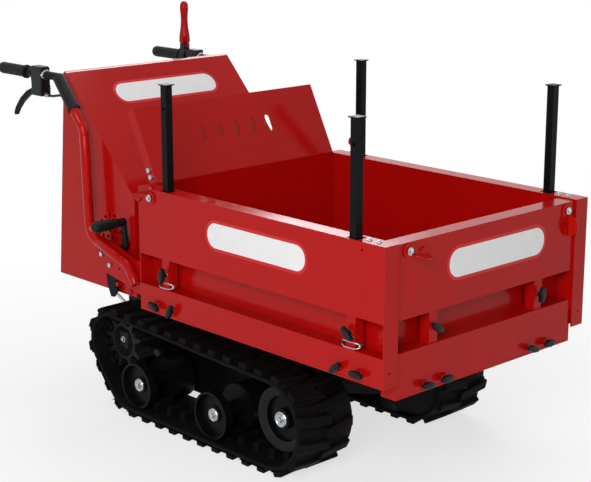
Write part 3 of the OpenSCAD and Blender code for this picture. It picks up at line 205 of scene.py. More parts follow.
# %% Track rubber
TRACK_RUBBER, tree, place = new_finish("moulded_track_rubber")
bloom = add(tree, "ShaderNodeTexNoise", {"Vector": place, "Scale": 1 / (70 * MM), "Detail": 5.0})
pebble = add(tree, "ShaderNodeTexVoronoi", {"Vector": place, "Scale": 1 / (4 * MM)})
tint = add(
    tree, "ShaderNodeMix", {0: bloom.outputs["Fac"], 6: linear("#060505"), 7: linear("#110F0D")}, data_type="RGBA"
)
matt = add(
    tree, "ShaderNodeMapRange",
    {"Value": bloom.outputs["Fac"], "From Min": 0.3, "From Max": 0.7, "To Min": 0.6, "To Max": 0.8},
)
skin = add(tree, "ShaderNodeBump", {"Height": pebble.outputs["Distance"], "Distance": 0.3 * MM, "Strength": 0.4})
rubber = add(
    tree, "ShaderNodeBsdfPrincipled",
    {
        "Base Color": tint.outputs[2], "Roughness": matt.outputs["Result"], "Normal": skin.outputs["Normal"],
        "IOR": 1.5, "Specular IOR Level": 0.07,
    },
)
add(tree, "ShaderNodeOutputMaterial", {"Surface": rubber.outputs["BSDF"]})
print(TRACK_RUBBER.name)

# %% [markdown]
# ## Grip rubber and nylon
# Grips are soft rubber with a fine matt grain. Knobs and caps are glass-filled nylon from an eroded steel
# mould: harder, a little shinier, with a coarser grain of about 1 mm, drawn at 2 mm. The two trees have the
# same shape, so one loop makes both from a short table of colours, grain and gloss.

# %% Grip rubber and nylon
MOULDED = {}
for name, dark, light, grain_mm, low, high in (
    ("soft_grip_rubber", "#0C0C0D", "#18181A", 3, 0.48, 0.6),
    ("grained_black_nylon", "#0E0E0F", "#1A1A1B", 2, 0.36, 0.46),
):
    finish, tree, place = new_finish(name)
    cloud = add(tree, "ShaderNodeTexNoise", {"Vector": place, "Scale": 1 / (25 * MM), "Detail": 3.0})
    grain = add(tree, "ShaderNodeTexNoise", {"Vector": place, "Scale": 1 / (grain_mm * MM), "Detail": 2.0})
    tint = add(
        tree, "ShaderNodeMix", {0: cloud.outputs["Fac"], 6: linear(dark), 7: linear(light)}, data_type="RGBA"
    )
    matt = add(tree, "ShaderNodeMapRange", {"Value": cloud.outputs["Fac"], "To Min": low, "To Max": high})
    skin = add(tree, "ShaderNodeBump", {"Height": grain.outputs["Fac"], "Distance": 0.15 * MM, "Strength": 0.4})
    plastic = add(
        tree, "ShaderNodeBsdfPrincipled",
        {
            "Base Color": tint.outputs[2], "Roughness": matt.outputs["Result"], "Normal": skin.outputs["Normal"],
            "IOR": 1.5, "Specular IOR Level": 0.18,
        },
    )
    add(tree, "ShaderNodeOutputMaterial", {"Surface": plastic.outputs["BSDF"]})
    MOULDED[name] = finish
GRIP_RUBBER, NYLON = MOULDED["soft_grip_rubber"], MOULDED["grained_black_nylon"]
print(list(MOULDED))

# %% [markdown]
# ## Bright zinc, cast iron and cast alloy
# Bolts, wire and slide tubes are zinc plated: a cool metal, cloudy where the plating grew in crystals about
# 6 mm across, for which Voronoi cells stand. Gearbox and sprockets are sand-cast iron under thin dark paint,
# and the engine block is cast alloy. Both show the sand's grain, about 1 mm, drawn at 3 mm. Their trees are
# alike, so one loop makes both. A metal keeps the default index of refraction.

# %% Bright zinc
ZINC, tree, place = new_finish("bright_zinc_plate")
crystal = add(tree, "ShaderNodeTexVoronoi", {"Vector": place, "Scale": 1 / (6 * MM)})
cloud = add(tree, "ShaderNodeTexNoise", {"Vector": place, "Scale": 1 / (15 * MM), "Detail": 3.0})
tint = add(
    tree, "ShaderNodeMix", {0: cloud.outputs["Fac"], 6: linear("#9DA3A8"), 7: linear("#C6CACD")}, data_type="RGBA"
)
shine = add(tree, "ShaderNodeMapRange", {"Value": crystal.outputs["Distance"], "To Min": 0.22, "To Max": 0.32})
plate = add(
    tree, "ShaderNodeBsdfPrincipled",
    {"Base Color": tint.outputs[2], "Roughness": shine.outputs["Result"], "Metallic": 1.0},
)
add(tree, "ShaderNodeOutputMaterial", {"Surface": plate.outputs["BSDF"]})
print(ZINC.name)

# %% Cast iron and cast alloy
CAST = {}
for name, dark, light, metal, sheen, low, high in (
    ("painted_cast_iron", "#101112", "#1E1F21", 0.0, 0.12, 0.42, 0.6),
    ("cast_engine_alloy", "#6E7174", "#96999C", 1.0, 0.5, 0.42, 0.58),
):
    finish, tree, place = new_finish(name)
    stain = add(tree, "ShaderNodeTexNoise", {"Vector": place, "Scale": 1 / (30 * MM), "Detail": 5.0})
    sand = add(tree, "ShaderNodeTexNoise", {"Vector": place, "Scale": 1 / (3 * MM), "Detail": 2.0})
    tint = add(
        tree, "ShaderNodeMix", {0: stain.outputs["Fac"], 6: linear(dark), 7: linear(light)}, data_type="RGBA"
    )
    matt = add(tree, "ShaderNodeMapRange", {"Value": stain.outputs["Fac"], "To Min": low, "To Max": high})
    skin = add(tree, "ShaderNodeBump", {"Height": sand.outputs["Fac"], "Distance": 0.3 * MM, "Strength": 0.5})
    casting = add(
        tree, "ShaderNodeBsdfPrincipled",
        {
            "Base Color": tint.outputs[2], "Roughness": matt.outputs["Result"], "Normal": skin.outputs["Normal"],
            "Metallic": metal, "Specular IOR Level": sheen,
        },
    )
    add(tree, "ShaderNodeOutputMaterial", {"Surface": casting.outputs["BSDF"]})
    CAST[name] = finish
CAST_IRON, ALLOY = CAST["painted_cast_iron"], CAST["cast_engine_alloy"]
print(list(CAST))

# %% [markdown]
# ## Label vinyl
# The labels are printed vinyl under a clear film: even colour, a satin gloss, and a very slight unevenness
# where the film lies on the paint. The unevenness is drawn at 30 mm, the size of a squeegee's mark. One flat
# colour would be simpler, but it looks cut out of the picture.

# %% Label vinyl
VINYL = {}
for name, dark, light in (("white_label_vinyl", "#E3E3E3", "#ECECEC"), ("red_label_vinyl", "#C00A14", "#CC0F1A")):
    finish, tree, place = new_finish(name)
    film = add(tree, "ShaderNodeTexNoise", {"Vector": place, "Scale": 1 / (30 * MM), "Detail": 2.0})
    tint = add(
        tree, "ShaderNodeMix", {0: film.outputs["Fac"], 6: linear(dark), 7: linear(light)}, data_type="RGBA"
    )
    satin = add(tree, "ShaderNodeMapRange", {"Value": film.outputs["Fac"], "To Min": 0.32, "To Max": 0.42})
    vinyl = add(
        tree, "ShaderNodeBsdfPrincipled",
        {"Base Color": tint.outputs[2], "Roughness": satin.outputs["Result"], "IOR": 1.45, "Specular IOR Level": 0.4},
    )
    add(tree, "ShaderNodeOutputMaterial", {"Surface": vinyl.outputs["BSDF"]})
    VINYL[name] = finish
print(list(VINYL))

# %% [markdown]
# ## Finishes on the CAD parts
# Every CAD part belongs to a slot of the record. Finishes could be given part by part, but here the slot
# chooses, so the parts of one colour stay together when someone repaints the model.

# %% Dress the CAD parts
SLOT_FINISH = {
    "red_paint": RED_COAT,
    "black_paint": BLACK_ENAMEL,
    "track_rubber": TRACK_RUBBER,
    "grip_rubber": GRIP_RUBBER,
    "black_plastic": NYLON,
    "zinc_steel": ZINC,
    "cast_metal": CAST_IRON,
    "engine_alloy": ALLOY,
}
SLOT_OF = {part["node"]: part["material_slot"] for part in frame["record"]["subparts"]}
for name, part in frame["nodes"].items():
    part.data.materials.clear()
    part.data.materials.append(SLOT_FINISH[SLOT_OF[name]])
print("dressed", len(SLOT_OF), "parts")

# %% [markdown]
# ## Soft edges
# Real sheet steel has no knife edges: a fold has a radius and the coat rounds every cut. A light runs along
# such an edge, and the eye misses it at once when it is absent. The CAD mesh may not change, but modifiers
# may finish it: Weld joins its loose triangles, Decimate dissolves the ones that lie in one plane so that the
# bevel has clean corners, and Bevel rounds the edges sharper than 40 degrees. Moulded parts get a broad
# radius, and there the bevel isn't held back by short edges.

# %% Weld, dissolve and bevel


def soften(name, radius_mm, steps=2, clamp=True):
    """Rounds a CAD part's sharp edges with modifiers."""
    part = frame["nodes"][name]
    join = part.modifiers.new("join", "WELD")
    join.merge_threshold = 0.00001
    flat = part.modifiers.new("flat", "DECIMATE")
    flat.decimate_type = "DISSOLVE"
    flat.angle_limit = math.radians(0.4)
    edge = part.modifiers.new("edge", "BEVEL")
    edge.width = radius_mm * MM
    edge.segments = steps
    edge.limit_method = "ANGLE"
    edge.angle_limit = math.radians(40)
    edge.harden_normals = True
    edge.use_clamp_overlap = clamp


SOFT_EDGES = {
    0.8: ["right_front_stake", "right_rear_stake", "left_front_stake", "left_rear_stake", "latch_lever"],
    0.9: ["right_side", "left_side", "front_gate", "headboard", "rear_wall", "dump_handle"],
    1.0: ["right_front_latch", "left_front_latch", "right_rear_latch", "left_rear_latch"],
    1.8: ["hood"],
    2.0: ["right_lever", "left_lever", "clutch_lever", "right_sprocket", "left_sprocket"],
}
BROAD_EDGES = (("lever_brackets", 4, 3), ("right_track", 3.5, 2), ("left_track", 3.5, 2))
for radius, names in SOFT_EDGES.items():
    for name in names:
        soften(name, radius)
for name, radius, steps in BROAD_EDGES:
    soften(name, radius, steps, clamp=False)
print("softened", sum(len(names) for names in SOFT_EDGES.values()) + len(BROAD_EDGES), "parts")

# %% [markdown]
# ## Making a piece
# A new piece is a bmesh that operators shape. When it is done, doubles are merged, the normals are turned
# outwards, and the mesh becomes an object at the origin that rides on one CAD body. A piece could also be
# built at the origin and moved, but then its pattern would move with it; here its place is in its mesh.

# %% Piece helpers


def place_on(point, outward, turn=0.0):
    """A matrix that puts local Z along outward at a point, after a turn about it."""
    aim = Vector((0, 0, 1)).rotation_difference(Vector(outward)).to_matrix().to_4x4()
    return Matrix.Translation(point) @ aim @ Matrix.Rotation(math.radians(turn), 4, "Z")


def finish_piece(name, bm, finish, body, smooth=35):
    """The bmesh as an object that rides on a body and takes the finish given."""
    bmesh.ops.remove_doubles(bm, verts=bm.verts, dist=0.000002)
    bmesh.ops.recalc_face_normals(bm, faces=bm.faces)
    mesh = bpy.data.meshes.new(name)
    bm.to_mesh(mesh)
    bm.free()
    mesh.materials.append(finish)
    for face in mesh.polygons:
        face.use_smooth = True
    mesh.set_sharp_from_angle(angle=math.radians(smooth))
    piece = bpy.data.objects.new(name, mesh)
    scene.collection.objects.link(piece)
    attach(piece, body)
    return piece


print("pieces can be placed and finished")

# %% Shape helpers


def round_edges(bm, verts, offset_mm, test, steps=2):
    """Bevels the edges among these vertices that pass the test."""
    edges = {e for v in verts for e in v.link_edges if test(e)}
    bmesh.ops.bevel(
        bm, geom=list(edges), offset=offset_mm * MM, affect="EDGES", segments=steps, profile=0.5, material=-1
    )


def disc(bm, matrix, radius, low, high, segments=32, edge=0.0):
    """A round or many-sided disc between two heights, its upper rim softened."""
    made = bmesh.ops.create_cone(
        bm, cap_ends=True, segments=segments, radius1=radius * MM, radius2=radius * MM,
        depth=(high - low) * MM, matrix=matrix @ Matrix.Translation((0, 0, (low + high) / 2 * MM)),
    )["verts"]
    if edge:
        back = matrix.inverted()
        round_edges(bm, made, edge, lambda e: all((back @ v.co).z > (high - 0.01) * MM for v in e.verts))


def slab(bm, matrix, size, edge=0.0, steps=2):
    """A block of three sizes round a matrix's point, all its edges softened."""
    made = bmesh.ops.create_cube(bm, size=1, matrix=matrix @ Matrix.Diagonal(Vector((*size, 1 / MM)) * MM))["verts"]
    if edge:
        round_edges(bm, made, edge, lambda e: True, steps)


def turned(bm, matrix, profile, steps=40):
    """Spins a profile of (height, radius) in millimetres about a matrix's Z."""
    points = [bm.verts.new(matrix @ Vector((radius * MM, 0, height * MM))) for height, radius in profile]
    edges = [bm.edges.new(pair) for pair in zip(points, points[1:])]
    axis = matrix.to_3x3() @ Vector((0, 0, 1))
    bmesh.ops.spin(
        bm, geom=points + edges, cent=matrix.translation, axis=axis, angle=2 * math.pi, steps=steps, use_merge=True
    )


def wire(bm, points, radius):
    """Adds a round wire, its radius in millimetres, on a smooth curve through points in metres."""
    curve = bpy.data.curves.new("wire", "CURVE")
    curve.dimensions = "3D"
    curve.bevel_depth = radius * MM
    curve.bevel_resolution = 3
    curve.resolution_u = 6
    curve.use_fill_caps = True
    spline = curve.splines.new("BEZIER")
    spline.bezier_points.add(len(points) - 1)
    for knot, point in zip(spline.bezier_points, points):
        knot.co = point
        knot.handle_left_type = knot.handle_right_type = "AUTO"
    holder = bpy.data.objects.new("wire", curve)
    mesh = bpy.data.meshes.new_from_object(holder)
    bm.from_mesh(mesh)
    bpy.data.objects.remove(holder)
    bpy.data.curves.remove(curve)
    bpy.data.meshes.remove(mesh)


print("shapes: disc, slab, turned and wire")

# %% [markdown]
# ## Bolts
# The bolts are zinc plated hex screws on flat washers. Two hold the top flange at each front corner, and one
# is the pivot of each corner latch. A circle could be extruded for each head, but a six-sided cone is already
# closed, and only its top rim is bevelled, as a turned head is.

# %% Bolts


def hex_bolt(bm, point, outward, size, washer, turn):
    """A head of a given radius on a washer, turned about its axis by some degrees."""
    seat = place_on(point, outward, turn)
    disc(bm, seat, washer, -0.4, 1.4, 28, 0.4)
    disc(bm, seat, size, 1.3, 1.3 + size * 0.75, 6, 0.8)


LATCH_Z = WALL_TOP - 22
for side, s in SIDES:
    bm = bmesh.new()
    for i, y in enumerate((41, 69)):
        hex_bolt(bm, at(s * 333, y, WALL_TOP), UP, 4.5, 7, 20 * i)
    hex_bolt(bm, at(s * (HALF_W + 7.4), 798, LATCH_Z), (s, 0, 0), 5.5, 9, 10)
    finish_piece(f"{side}_wall_bolts", bm, ZINC, f"{side}_wall", 30)
bm = bmesh.new()
for side, s in SIDES:
    hex_bolt(bm, at(s * 279.7, GATE_Y - 7.4, LATCH_Z), FRONT, 5.5, 9, 10 * s)
finish_piece("gate_bolts", bm, ZINC, "front_wall", 30)
print("bolts on three walls")

# %% [markdown]
# ## Wing knobs
# Each slide tube is held by two wing knobs and each stake socket by one: a lozenge of moulded nylon on a
# threaded stud. A six-sided cone, stretched to a lozenge and bevelled twice, gives the faceted wing. A cube
# would need its corners cut, and a curve would lose the facets. Every knob stops at its own angle, as knobs
# that were tightened by hand do.

# %% Wing knobs
STAKE_X = 339.2
STAKE_YS = (104, 751)
SOCKET_X = 353
SOCKET_KNOB_Z = BED_Z + 108
RAIL_KNOB_Z = BED_Z + 22
FRONT_TUBE_X = 187
FRONT_TUBE_Z = BED_Z - 19
KNOB_STEP = 32


def wing_knob(bm, seat):
    """A nylon lozenge, 44 by 16 mm, from 8 to 20 mm above its seat, on a short neck."""
    stretch = Matrix.Translation((0, 0, 14 * MM)) @ Matrix.Diagonal((1.0, 0.42, 1.0, 1.0))
    made = bmesh.ops.create_cone(
        bm, cap_ends=True, segments=6, radius1=22 * MM, radius2=20 * MM, depth=12 * MM, matrix=seat @ stretch
    )["verts"]
    round_edges(bm, made, 2.2, lambda e: True, 3)
    turned(bm, seat, [(2, 0), (2, 5.5), (4, 6.5), (9, 6.5), (9, 0)], 20)


def knob_stud(bm, seat):
    """The zinc stud and its nut, seen between the knob and the sheet."""
    disc(bm, seat, 3, -2, 6, 16)
    disc(bm, seat, 6, 0, 3.2, 6, 0.6)


def knob_set(name, body, seats, *nodes):
    """Knobs in one piece, standing for their CAD node, and studs in another."""
    bm = bmesh.new()
    for seat in seats:
        wing_knob(bm, seat)
    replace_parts(finish_piece(f"{name}_wing_knobs", bm, NYLON, body, 40), *nodes)
    bm = bmesh.new()
    for seat in seats:
        knob_stud(bm, seat)
    finish_piece(f"{name}_knob_studs", bm, ZINC, body, 30)
    print(len(seats), "knobs on the", body)


for side, s in SIDES:
    seats = []
    for y, turns in zip(STAKE_YS, ((95, 45, 130), (25, 108, 5))):
        seats += [place_on(at(s * HALF_W, y - KNOB_STEP, RAIL_KNOB_Z), (s, 0, 0), s * turns[0])]
        seats += [place_on(at(s * HALF_W, y + KNOB_STEP, RAIL_KNOB_Z), (s, 0, 0), s * turns[1])]
        seats += [place_on(at(s * SOCKET_X, y, SOCKET_KNOB_Z), (s, 0, 0), s * turns[2])]
    knob_set(side, f"{side}_wall", seats, f"{side}_knobs")

seats = []
for s, turns in ((-1, (-5, 3, -35)), (1, (-18, 2, 80))):
    seats += [place_on(at(s * FRONT_TUBE_X - KNOB_STEP, GATE_Y, FRONT_TUBE_Z), FRONT, turns[0])]
    seats += [place_on(at(s * FRONT_TUBE_X + KNOB_STEP, GATE_Y, FRONT_TUBE_Z), FRONT, turns[1])]
    seats += [place_on(at(s * FRONT_TUBE_X, GATE_Y + 4, SOCKET_KNOB_Z), FRONT, turns[2])]
knob_set("front", "front_wall", seats, "front_knobs")

# %% [markdown]
# ## Wire clips
# A pin under each stake is kept in its socket by a wire: two strands that spring round the socket's outer
# face and meet at the pin's ends, with a round head at the front. A smooth curve with a round section makes
# the wire, because bending a mesh tube by hand would pinch at the corners.

# %% Wire clips
CLIP_Z = BED_Z + 82
CLIP_RISE = 7.5
STRAND = (
    (STAKE_X, 26, 0.0), (351, 27, 0.5), (358, 17, 0.9), (360, 0, 1.0), (358, -17, 0.9), (351, -27, 0.5),
    (STAKE_X, -26, 0.0),
)
for side, s in SIDES:
    bm = bmesh.new()
    for y in STAKE_YS:
        for rise in (CLIP_RISE, -CLIP_RISE):
            wire(bm, [at(s * x, y + dy, CLIP_Z + k * rise) for x, dy, k in STRAND], 1.5)
        wire(bm, [at(s * STAKE_X, y - 26, CLIP_Z), at(s * STAKE_X, y + 26, CLIP_Z)], 1.6)
        head = Matrix.Translation(at(s * 351, y - 27, CLIP_Z))
        bmesh.ops.create_uvsphere(bm, u_segments=16, v_segments=10, radius=3.6 * MM, matrix=head)
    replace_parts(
        finish_piece(f"{side}_wire_clips", bm, ZINC, f"{side}_wall", 50), f"{side}_clips"
    )
print("a clip at each of", 2 * len(STAKE_YS), "sockets")

# %% [markdown]
# ## Handlebar grips
# The grips are rubber sleeves with a flange at the thumb's side, ribs for the fingers and a rounded end. Rings
# could be extruded one by one, but all of it is round about the bar, so a profile is drawn once and spun.

# %% Handlebar grips
BAR_X, BAR_Z = 276, 866
GRIP_START = 1450
ribs = []
for i in range(12):
    ribs += [(12 + 7 * i, 15.0), (13.5 + 7 * i, 16.2), (17 + 7 * i, 16.2), (18.5 + 7 * i, 15.0)]
profile = [(0, 0), (0, 17), (1.5, 19), (4.5, 19), (6, 17.5), (8, 15.2)] + ribs
profile += [(98, 16.2), (118, 16.4), (123, 15.4), (126, 12), (127, 7), (127, 0)]
bm = bmesh.new()
for side, s in SIDES:
    turned(bm, place_on(at(s * BAR_X, GRIP_START, BAR_Z), REAR), profile, 36)
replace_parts(finish_piece("ribbed_grips", bm, GRIP_RUBBER, "chassis", 50), "grips")
print("two ribbed grips with", len(ribs) // 4, "ribs each")

# %% [markdown]
# ## Grips of the dump handle and the bed latch
# The dump handle has a smooth rubber sleeve that flares at its lower end. The latch has a moulded handle that
# swells towards its round end, like a hand brake's. Both are round, so they are spun as well.

# %% Smooth grips
DUMP_TOP = Vector((-321, 1233, BED_Z + 550))
DUMP_BEND = Vector((-321, 1126, BED_Z + 424))
dump_way = (DUMP_BEND - DUMP_TOP).normalized()
bm = bmesh.new()
turned(
    bm, place_on(at(*(DUMP_TOP - 4 * dump_way)), dump_way),
    [(0, 0), (0, 12.5), (1.5, 15), (5, 16), (92, 16.3), (100, 17.8), (106, 18.4), (108, 17.4), (108, 0)],
)
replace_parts(finish_piece("dump_sleeve", bm, GRIP_RUBBER, "tray", 50), "dump_grip")

bm = bmesh.new()
turned(
    bm, place_on(at(-302.6, 993, BED_Z + 193), (-1, 0, 0)),
    [
        (0, 0), (0, 9), (2, 10.5), (24, 12.4), (52, 14.4), (76, 15.2), (86, 14.4), (92, 12), (95.5, 8.5),
        (97, 4), (97, 0),
    ],
)
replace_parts(finish_piece("latch_handle", bm, GRIP_RUBBER, "bed_latch", 50), "latch_grip")
print("sleeve and latch handle")

# %% [markdown]
# ## Hub caps
# Each wheel's axle ends in a pressed zinc cap with a hex screw. On the road rollers the cap sits deep in the
# dish of the wheel. A plain disc would do from afar, but the cap is spun with a raised rim, so that it
# catches a ring of light.

# %% Hub caps
IDLER_Y, IDLER_Z = 402, 129.5
HUBS = (
    ("idler", IDLER_Y, IDLER_Z, 284.5, 20), ("front_roller", 622, 87.5, 311.5, 17.5),
    ("rear_roller", 925, 87.5, 311.5, 17.5),
)
for side, s in SIDES:
    for wheel, y, z, x, radius in HUBS:
        bm = bmesh.new()
        seat = place_on(at(s * x, y, z), (s, 0, 0), 12)
        turned(bm, seat, [
            (-0.5, 0), (-0.5, radius), (2.5, radius), (4, radius - 1.5), (4, radius - 4), (2.6, radius - 5.5),
            (2.6, 0),
        ])
        disc(bm, seat, 10.5, 2.2, 4.2, 32, 0.6)
        disc(bm, seat, 8, 4, 10, 6, 1.2)
        finish_piece(f"{side}_{wheel}_cap", bm, ZINC, f"{side}_{wheel}_wheel", 30)
print("caps on", 2 * len(HUBS), "wheels")

# %% [markdown]
# ## Hems and weld marks
# The rails are folded sheet. A hem runs along each lower edge and short welds hold it, and more welds sit in
# the corner behind the rail, where the inner sheet stands on it. Bump could hint at them, but it has no
# outline at an edge. So the hem is a thin wire half sunk in the face, and a weld is a small sphere stretched
# along the seam.

# %% Hems and weld marks


def weld(bm, point, radii):
    """A bead of weld with three radii in millimetres."""
    bead = Matrix.Translation(point) @ Matrix.Diagonal((*radii, 1))
    bmesh.ops.create_uvsphere(bm, u_segments=10, v_segments=6, radius=MM, matrix=bead)


SIDE_HEM_Z = BED_Z + 5.5
GATE_HEM_Z = BED_Z - 30.5
RAIL_TOP = BED_Z + 70
for side, s in SIDES:
    bm = bmesh.new()
    wire(bm, [at(s * HALF_W, y, SIDE_HEM_Z) for y in (16, 834)], 0.9)
    for y in range(60, 820, 76):
        weld(bm, at(s * HALF_W, y, SIDE_HEM_Z), (1.3, 6, 1.8))
    for y in range(170, 720, 150):
        for step in (-8, 8):
            weld(bm, at(s * 317, y + step, RAIL_TOP + 0.8), (2, 6, 1.8))
    finish_piece(f"{side}_rail_welds", bm, RED_COAT, f"{side}_wall", 60)
bm = bmesh.new()
wire(bm, [at(x, GATE_Y, GATE_HEM_Z) for x in (-300, 300)], 0.9)
for x in range(-270, 280, 90):
    weld(bm, at(x, GATE_Y, GATE_HEM_Z), (6, 1.3, 1.8))
for x in (-90, 0, 90):
    for step in (-8, 8):
        weld(bm, at(x + step, 46, RAIL_TOP + 0.8), (6, 2, 1.8))
finish_piece("gate_rail_welds", bm, RED_COAT, "front_wall", 60)
print("hems and welds on three rails")

# %% [markdown]
# ## Lever housings
# A moulded housing is clamped on each bar. Its lower part is ribbed, a bright clamp ring holds it, and the
# cable leaves through a bright adjuster. Ribs could be inset in the housing, but its mesh comes from CAD and
# stays as it is, so small bevelled slabs stand a little proud of it. Discs make the rest.

# %% Lever housings
HOUSING_Y = 1362.5
for side, s in SIDES:
    bm = bmesh.new()
    for z in (812, 819, 826, 833):
        slab(bm, Matrix.Translation(at(s * BAR_X, HOUSING_Y + 7.5, z)), (33, 19, 3.4), 1.1)
    finish_piece(f"{side}_housing_ribs", bm, NYLON, "chassis", 40)
    bm = bmesh.new()
    disc(bm, place_on(at(s * BAR_X, HOUSING_Y, BAR_Z), FRONT), 14, 0, 8, 32, 1.2)
    hex_bolt(bm, at(s * (BAR_X + 13.6), HOUSING_Y - 4.5, BAR_Z), (s, 0, 0), 3.2, 4.2, 15)
    adjuster = place_on(at(s * BAR_X, HOUSING_Y, 810), FRONT, 20)
    disc(bm, adjuster, 7, 0, 5, 6, 0.7)
    disc(bm, adjuster, 5, 4.8, 15, 24, 0.8)
    finish_piece(f"{side}_housing_clamp", bm, ZINC, "chassis", 30)
print("ribs, clamps and adjusters on two housings")

# %% [markdown]
# ## Idler rims
# The front wheel of each track has a broad cast rim that slopes in to a shallow dish. Insetting a disc would
# give flat steps only. The rim is a ring, so its closed profile is spun, and it turns with the wheel.

# %% Idler rims
for side, s in SIDES:
    bm = bmesh.new()
    seat = place_on(at(s * 285.5, IDLER_Y, IDLER_Z), (s, 0, 0))
    turned(bm, seat, [(-3, 80.5), (0.6, 80.5), (1.2, 77), (-1, 66), (-6, 57), (-8, 57), (-8, 74), (-3, 80.5)], 56)
    finish_piece(f"{side}_idler_rim", bm, CAST_IRON, f"{side}_idler_wheel", 30)
print("two idler rims")

# %% [markdown]
# ## Drive ends of the tracks
# A cast hub block clamps each sprocket on its shaft, with five screws round it. Behind it, a black plate
# carries on from the track frame and shields the drive. Both are blocks in reality too, so bevelled slabs
# make them.

# %% Hub blocks and drive plates
SPROCKET_Y, SPROCKET_Z = 1018, 183
BLOCK_Y, BLOCK_Z = SPROCKET_Y + 2, SPROCKET_Z + 5
SCREW_RING = 31
for side, s in SIDES:
    bm = bmesh.new()
    slab(bm, Matrix.Translation(at(s * 283, BLOCK_Y, BLOCK_Z)), (14, 36, 44), 4.0, 3)
    finish_piece(f"{side}_hub_block", bm, CAST_IRON, f"{side}_drive", 40)
    bm = bmesh.new()
    for k in range(5):
        turn = math.radians(72 * k + 20)
        y, z = SPROCKET_Y + SCREW_RING * math.cos(turn), SPROCKET_Z + SCREW_RING * math.sin(turn)
        hex_bolt(bm, at(s * 268.4, y, z), (s, 0, 0), 4.5, 6.5, 13 * k)
    hex_bolt(bm, at(s * 290, BLOCK_Y, BLOCK_Z), (s, 0, 0), 6, 8.5, 10)
    finish_piece(f"{side}_hub_screws", bm, ZINC, f"{side}_drive", 30)
    bm = bmesh.new()
    slab(bm, Matrix.Translation(at(s * 146, 1012, 138)), (9, 124, 136), 3.0)
    finish_piece(f"{side}_drive_plate", bm, BLACK_ENAMEL, "chassis", 30)
print("hub blocks and drive plates")

# %% [markdown]
# ## Deck brace
# A flat zinc strap runs from under the right-hand chassis beam up to the edge of the engine deck, bent at both
# ends. One strip could be extruded round the bends. They are sharp and hardly seen, so each straight length
# is a slab with soft edges instead, and light runs along them.

# %% Deck brace
BRACE_Y = 1241
DOWN = (0, 0, -1)
lean = Matrix.Rotation(math.radians(-42), 4, "Y")
bm = bmesh.new()
slab(bm, Matrix.Translation(at(-159.5, BRACE_Y, 255.5)) @ lean, (4, 20, 160), 1.0)
slab(bm, Matrix.Translation(at(-88, BRACE_Y, 197.2)), (40, 20, 4), 1.0)
slab(bm, Matrix.Translation(at(-224, BRACE_Y, 313.2)), (30, 20, 4), 1.0)
hex_bolt(bm, at(-80, BRACE_Y, 195.2), DOWN, 5, 7.5, 10)
hex_bolt(bm, at(-228, BRACE_Y, 311.2), DOWN, 5, 7.5, 25)
finish_piece("deck_brace", bm, ZINC, "chassis", 30)
print("deck brace")

# %% [markdown]
# ## Clutch handle
# The upright clutch lever has a moulded red handle: broad at the foot, slim in the middle and round at the
# top, flattened a little from side to side. Scaled rings could make it, but a spun profile keeps the whole
# curve in one list, and the matrix that places it flattens it too.

# %% Clutch handle
bm = bmesh.new()
foot = Matrix.Translation(at(BAR_X, 1433, 896)) @ Matrix.Diagonal((0.92, 1.12, 1.0, 1.0))
turned(bm, foot, [
    (8, 0), (8, 15), (12, 18), (32, 16.4), (54, 12.8), (74, 11.2), (92, 12.0), (108, 13.8), (119, 13.6),
    (126, 11.4), (131, 7.2), (133, 0),
], 32)
finish_piece("clutch_handle", bm, RED_COAT, "clutch", 60)
print("clutch handle")

# %% [markdown]
# ## Labels
# Four labels are plain white vinyl with a bright red rim and round ends. A thin slab whose upright edges are
# bevelled by almost half its height makes such an outline in one step. The rim is a slightly larger slab
# under the white one, as a printed margin would look.

# %% Labels
LABEL_RIM = 8


def pill(bm, matrix, width, height, low, high):
    """A flat slab with round ends between two heights above a matrix's plane."""
    middle = matrix @ Matrix.Translation((0, 0, (low + high) / 2 * MM))
    made = bmesh.ops.create_cube(
        bm, size=1, matrix=middle @ Matrix.Diagonal((width * MM, height * MM, (high - low) * MM, 1))
    )["verts"]
    axis = matrix.to_3x3() @ Vector((0, 0, 1))
    upright = lambda e: abs((e.verts[0].co - e.verts[1].co).normalized().dot(axis)) > 0.9
    round_edges(bm, made, height * 0.49, upright, 14)


def label(name, matrix, width, height, body):
    """A red pill and a smaller white one on it."""
    bm = bmesh.new()
    pill(bm, matrix, width, height, -0.2, 0.5)
    finish_piece(f"{name}_label_rim", bm, VINYL["red_label_vinyl"], body, 30)
    bm = bmesh.new()
    pill(bm, matrix, width - 2 * LABEL_RIM, height - 2 * LABEL_RIM, 0.3, 0.8)
    finish_piece(f"{name}_label", bm, VINYL["white_label_vinyl"], body, 30)


def upright_on(point, outward):
    """A matrix on an upright face: Z outwards, Y up."""
    out = Vector(outward)
    return Matrix.Translation(point) @ Matrix((Vector(UP).cross(out), Vector(UP), out)).transposed().to_4x4()


for side, s in SIDES:
    label(side, upright_on(at(s * HALF_W, 413, BED_Z + 245), (s, 0, 0)), 353, 77, f"{side}_wall")
label("gate", upright_on(at(27, GATE_Y, BED_Z + 241), FRONT), 355, 82, "front_wall")

# The hood's face slopes from a shoulder to a crest; the label lies on the line between them.
HOOD_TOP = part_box("hood")[1].z / MM
SHOULDER_Y, SHOULDER_Z = 962, BED_Z + 258
CREST_Y, CREST_Z = 1248, HOOD_TOP - 3
LABEL_Y = 1189
slope = Vector((0, CREST_Y - SHOULDER_Y, CREST_Z - SHOULDER_Z)).normalized()
across = Vector((1, 0, 0))
middle = at(11, LABEL_Y, SHOULDER_Z + (LABEL_Y - SHOULDER_Y) * slope.z / slope.y)
hood_face = Matrix.Translation(middle) @ Matrix((across, slope, across.cross(slope))).transposed().to_4x4()
label("hood", hood_face, 363, 76, "chassis")
print("labels on both sides, the gate and the hood")

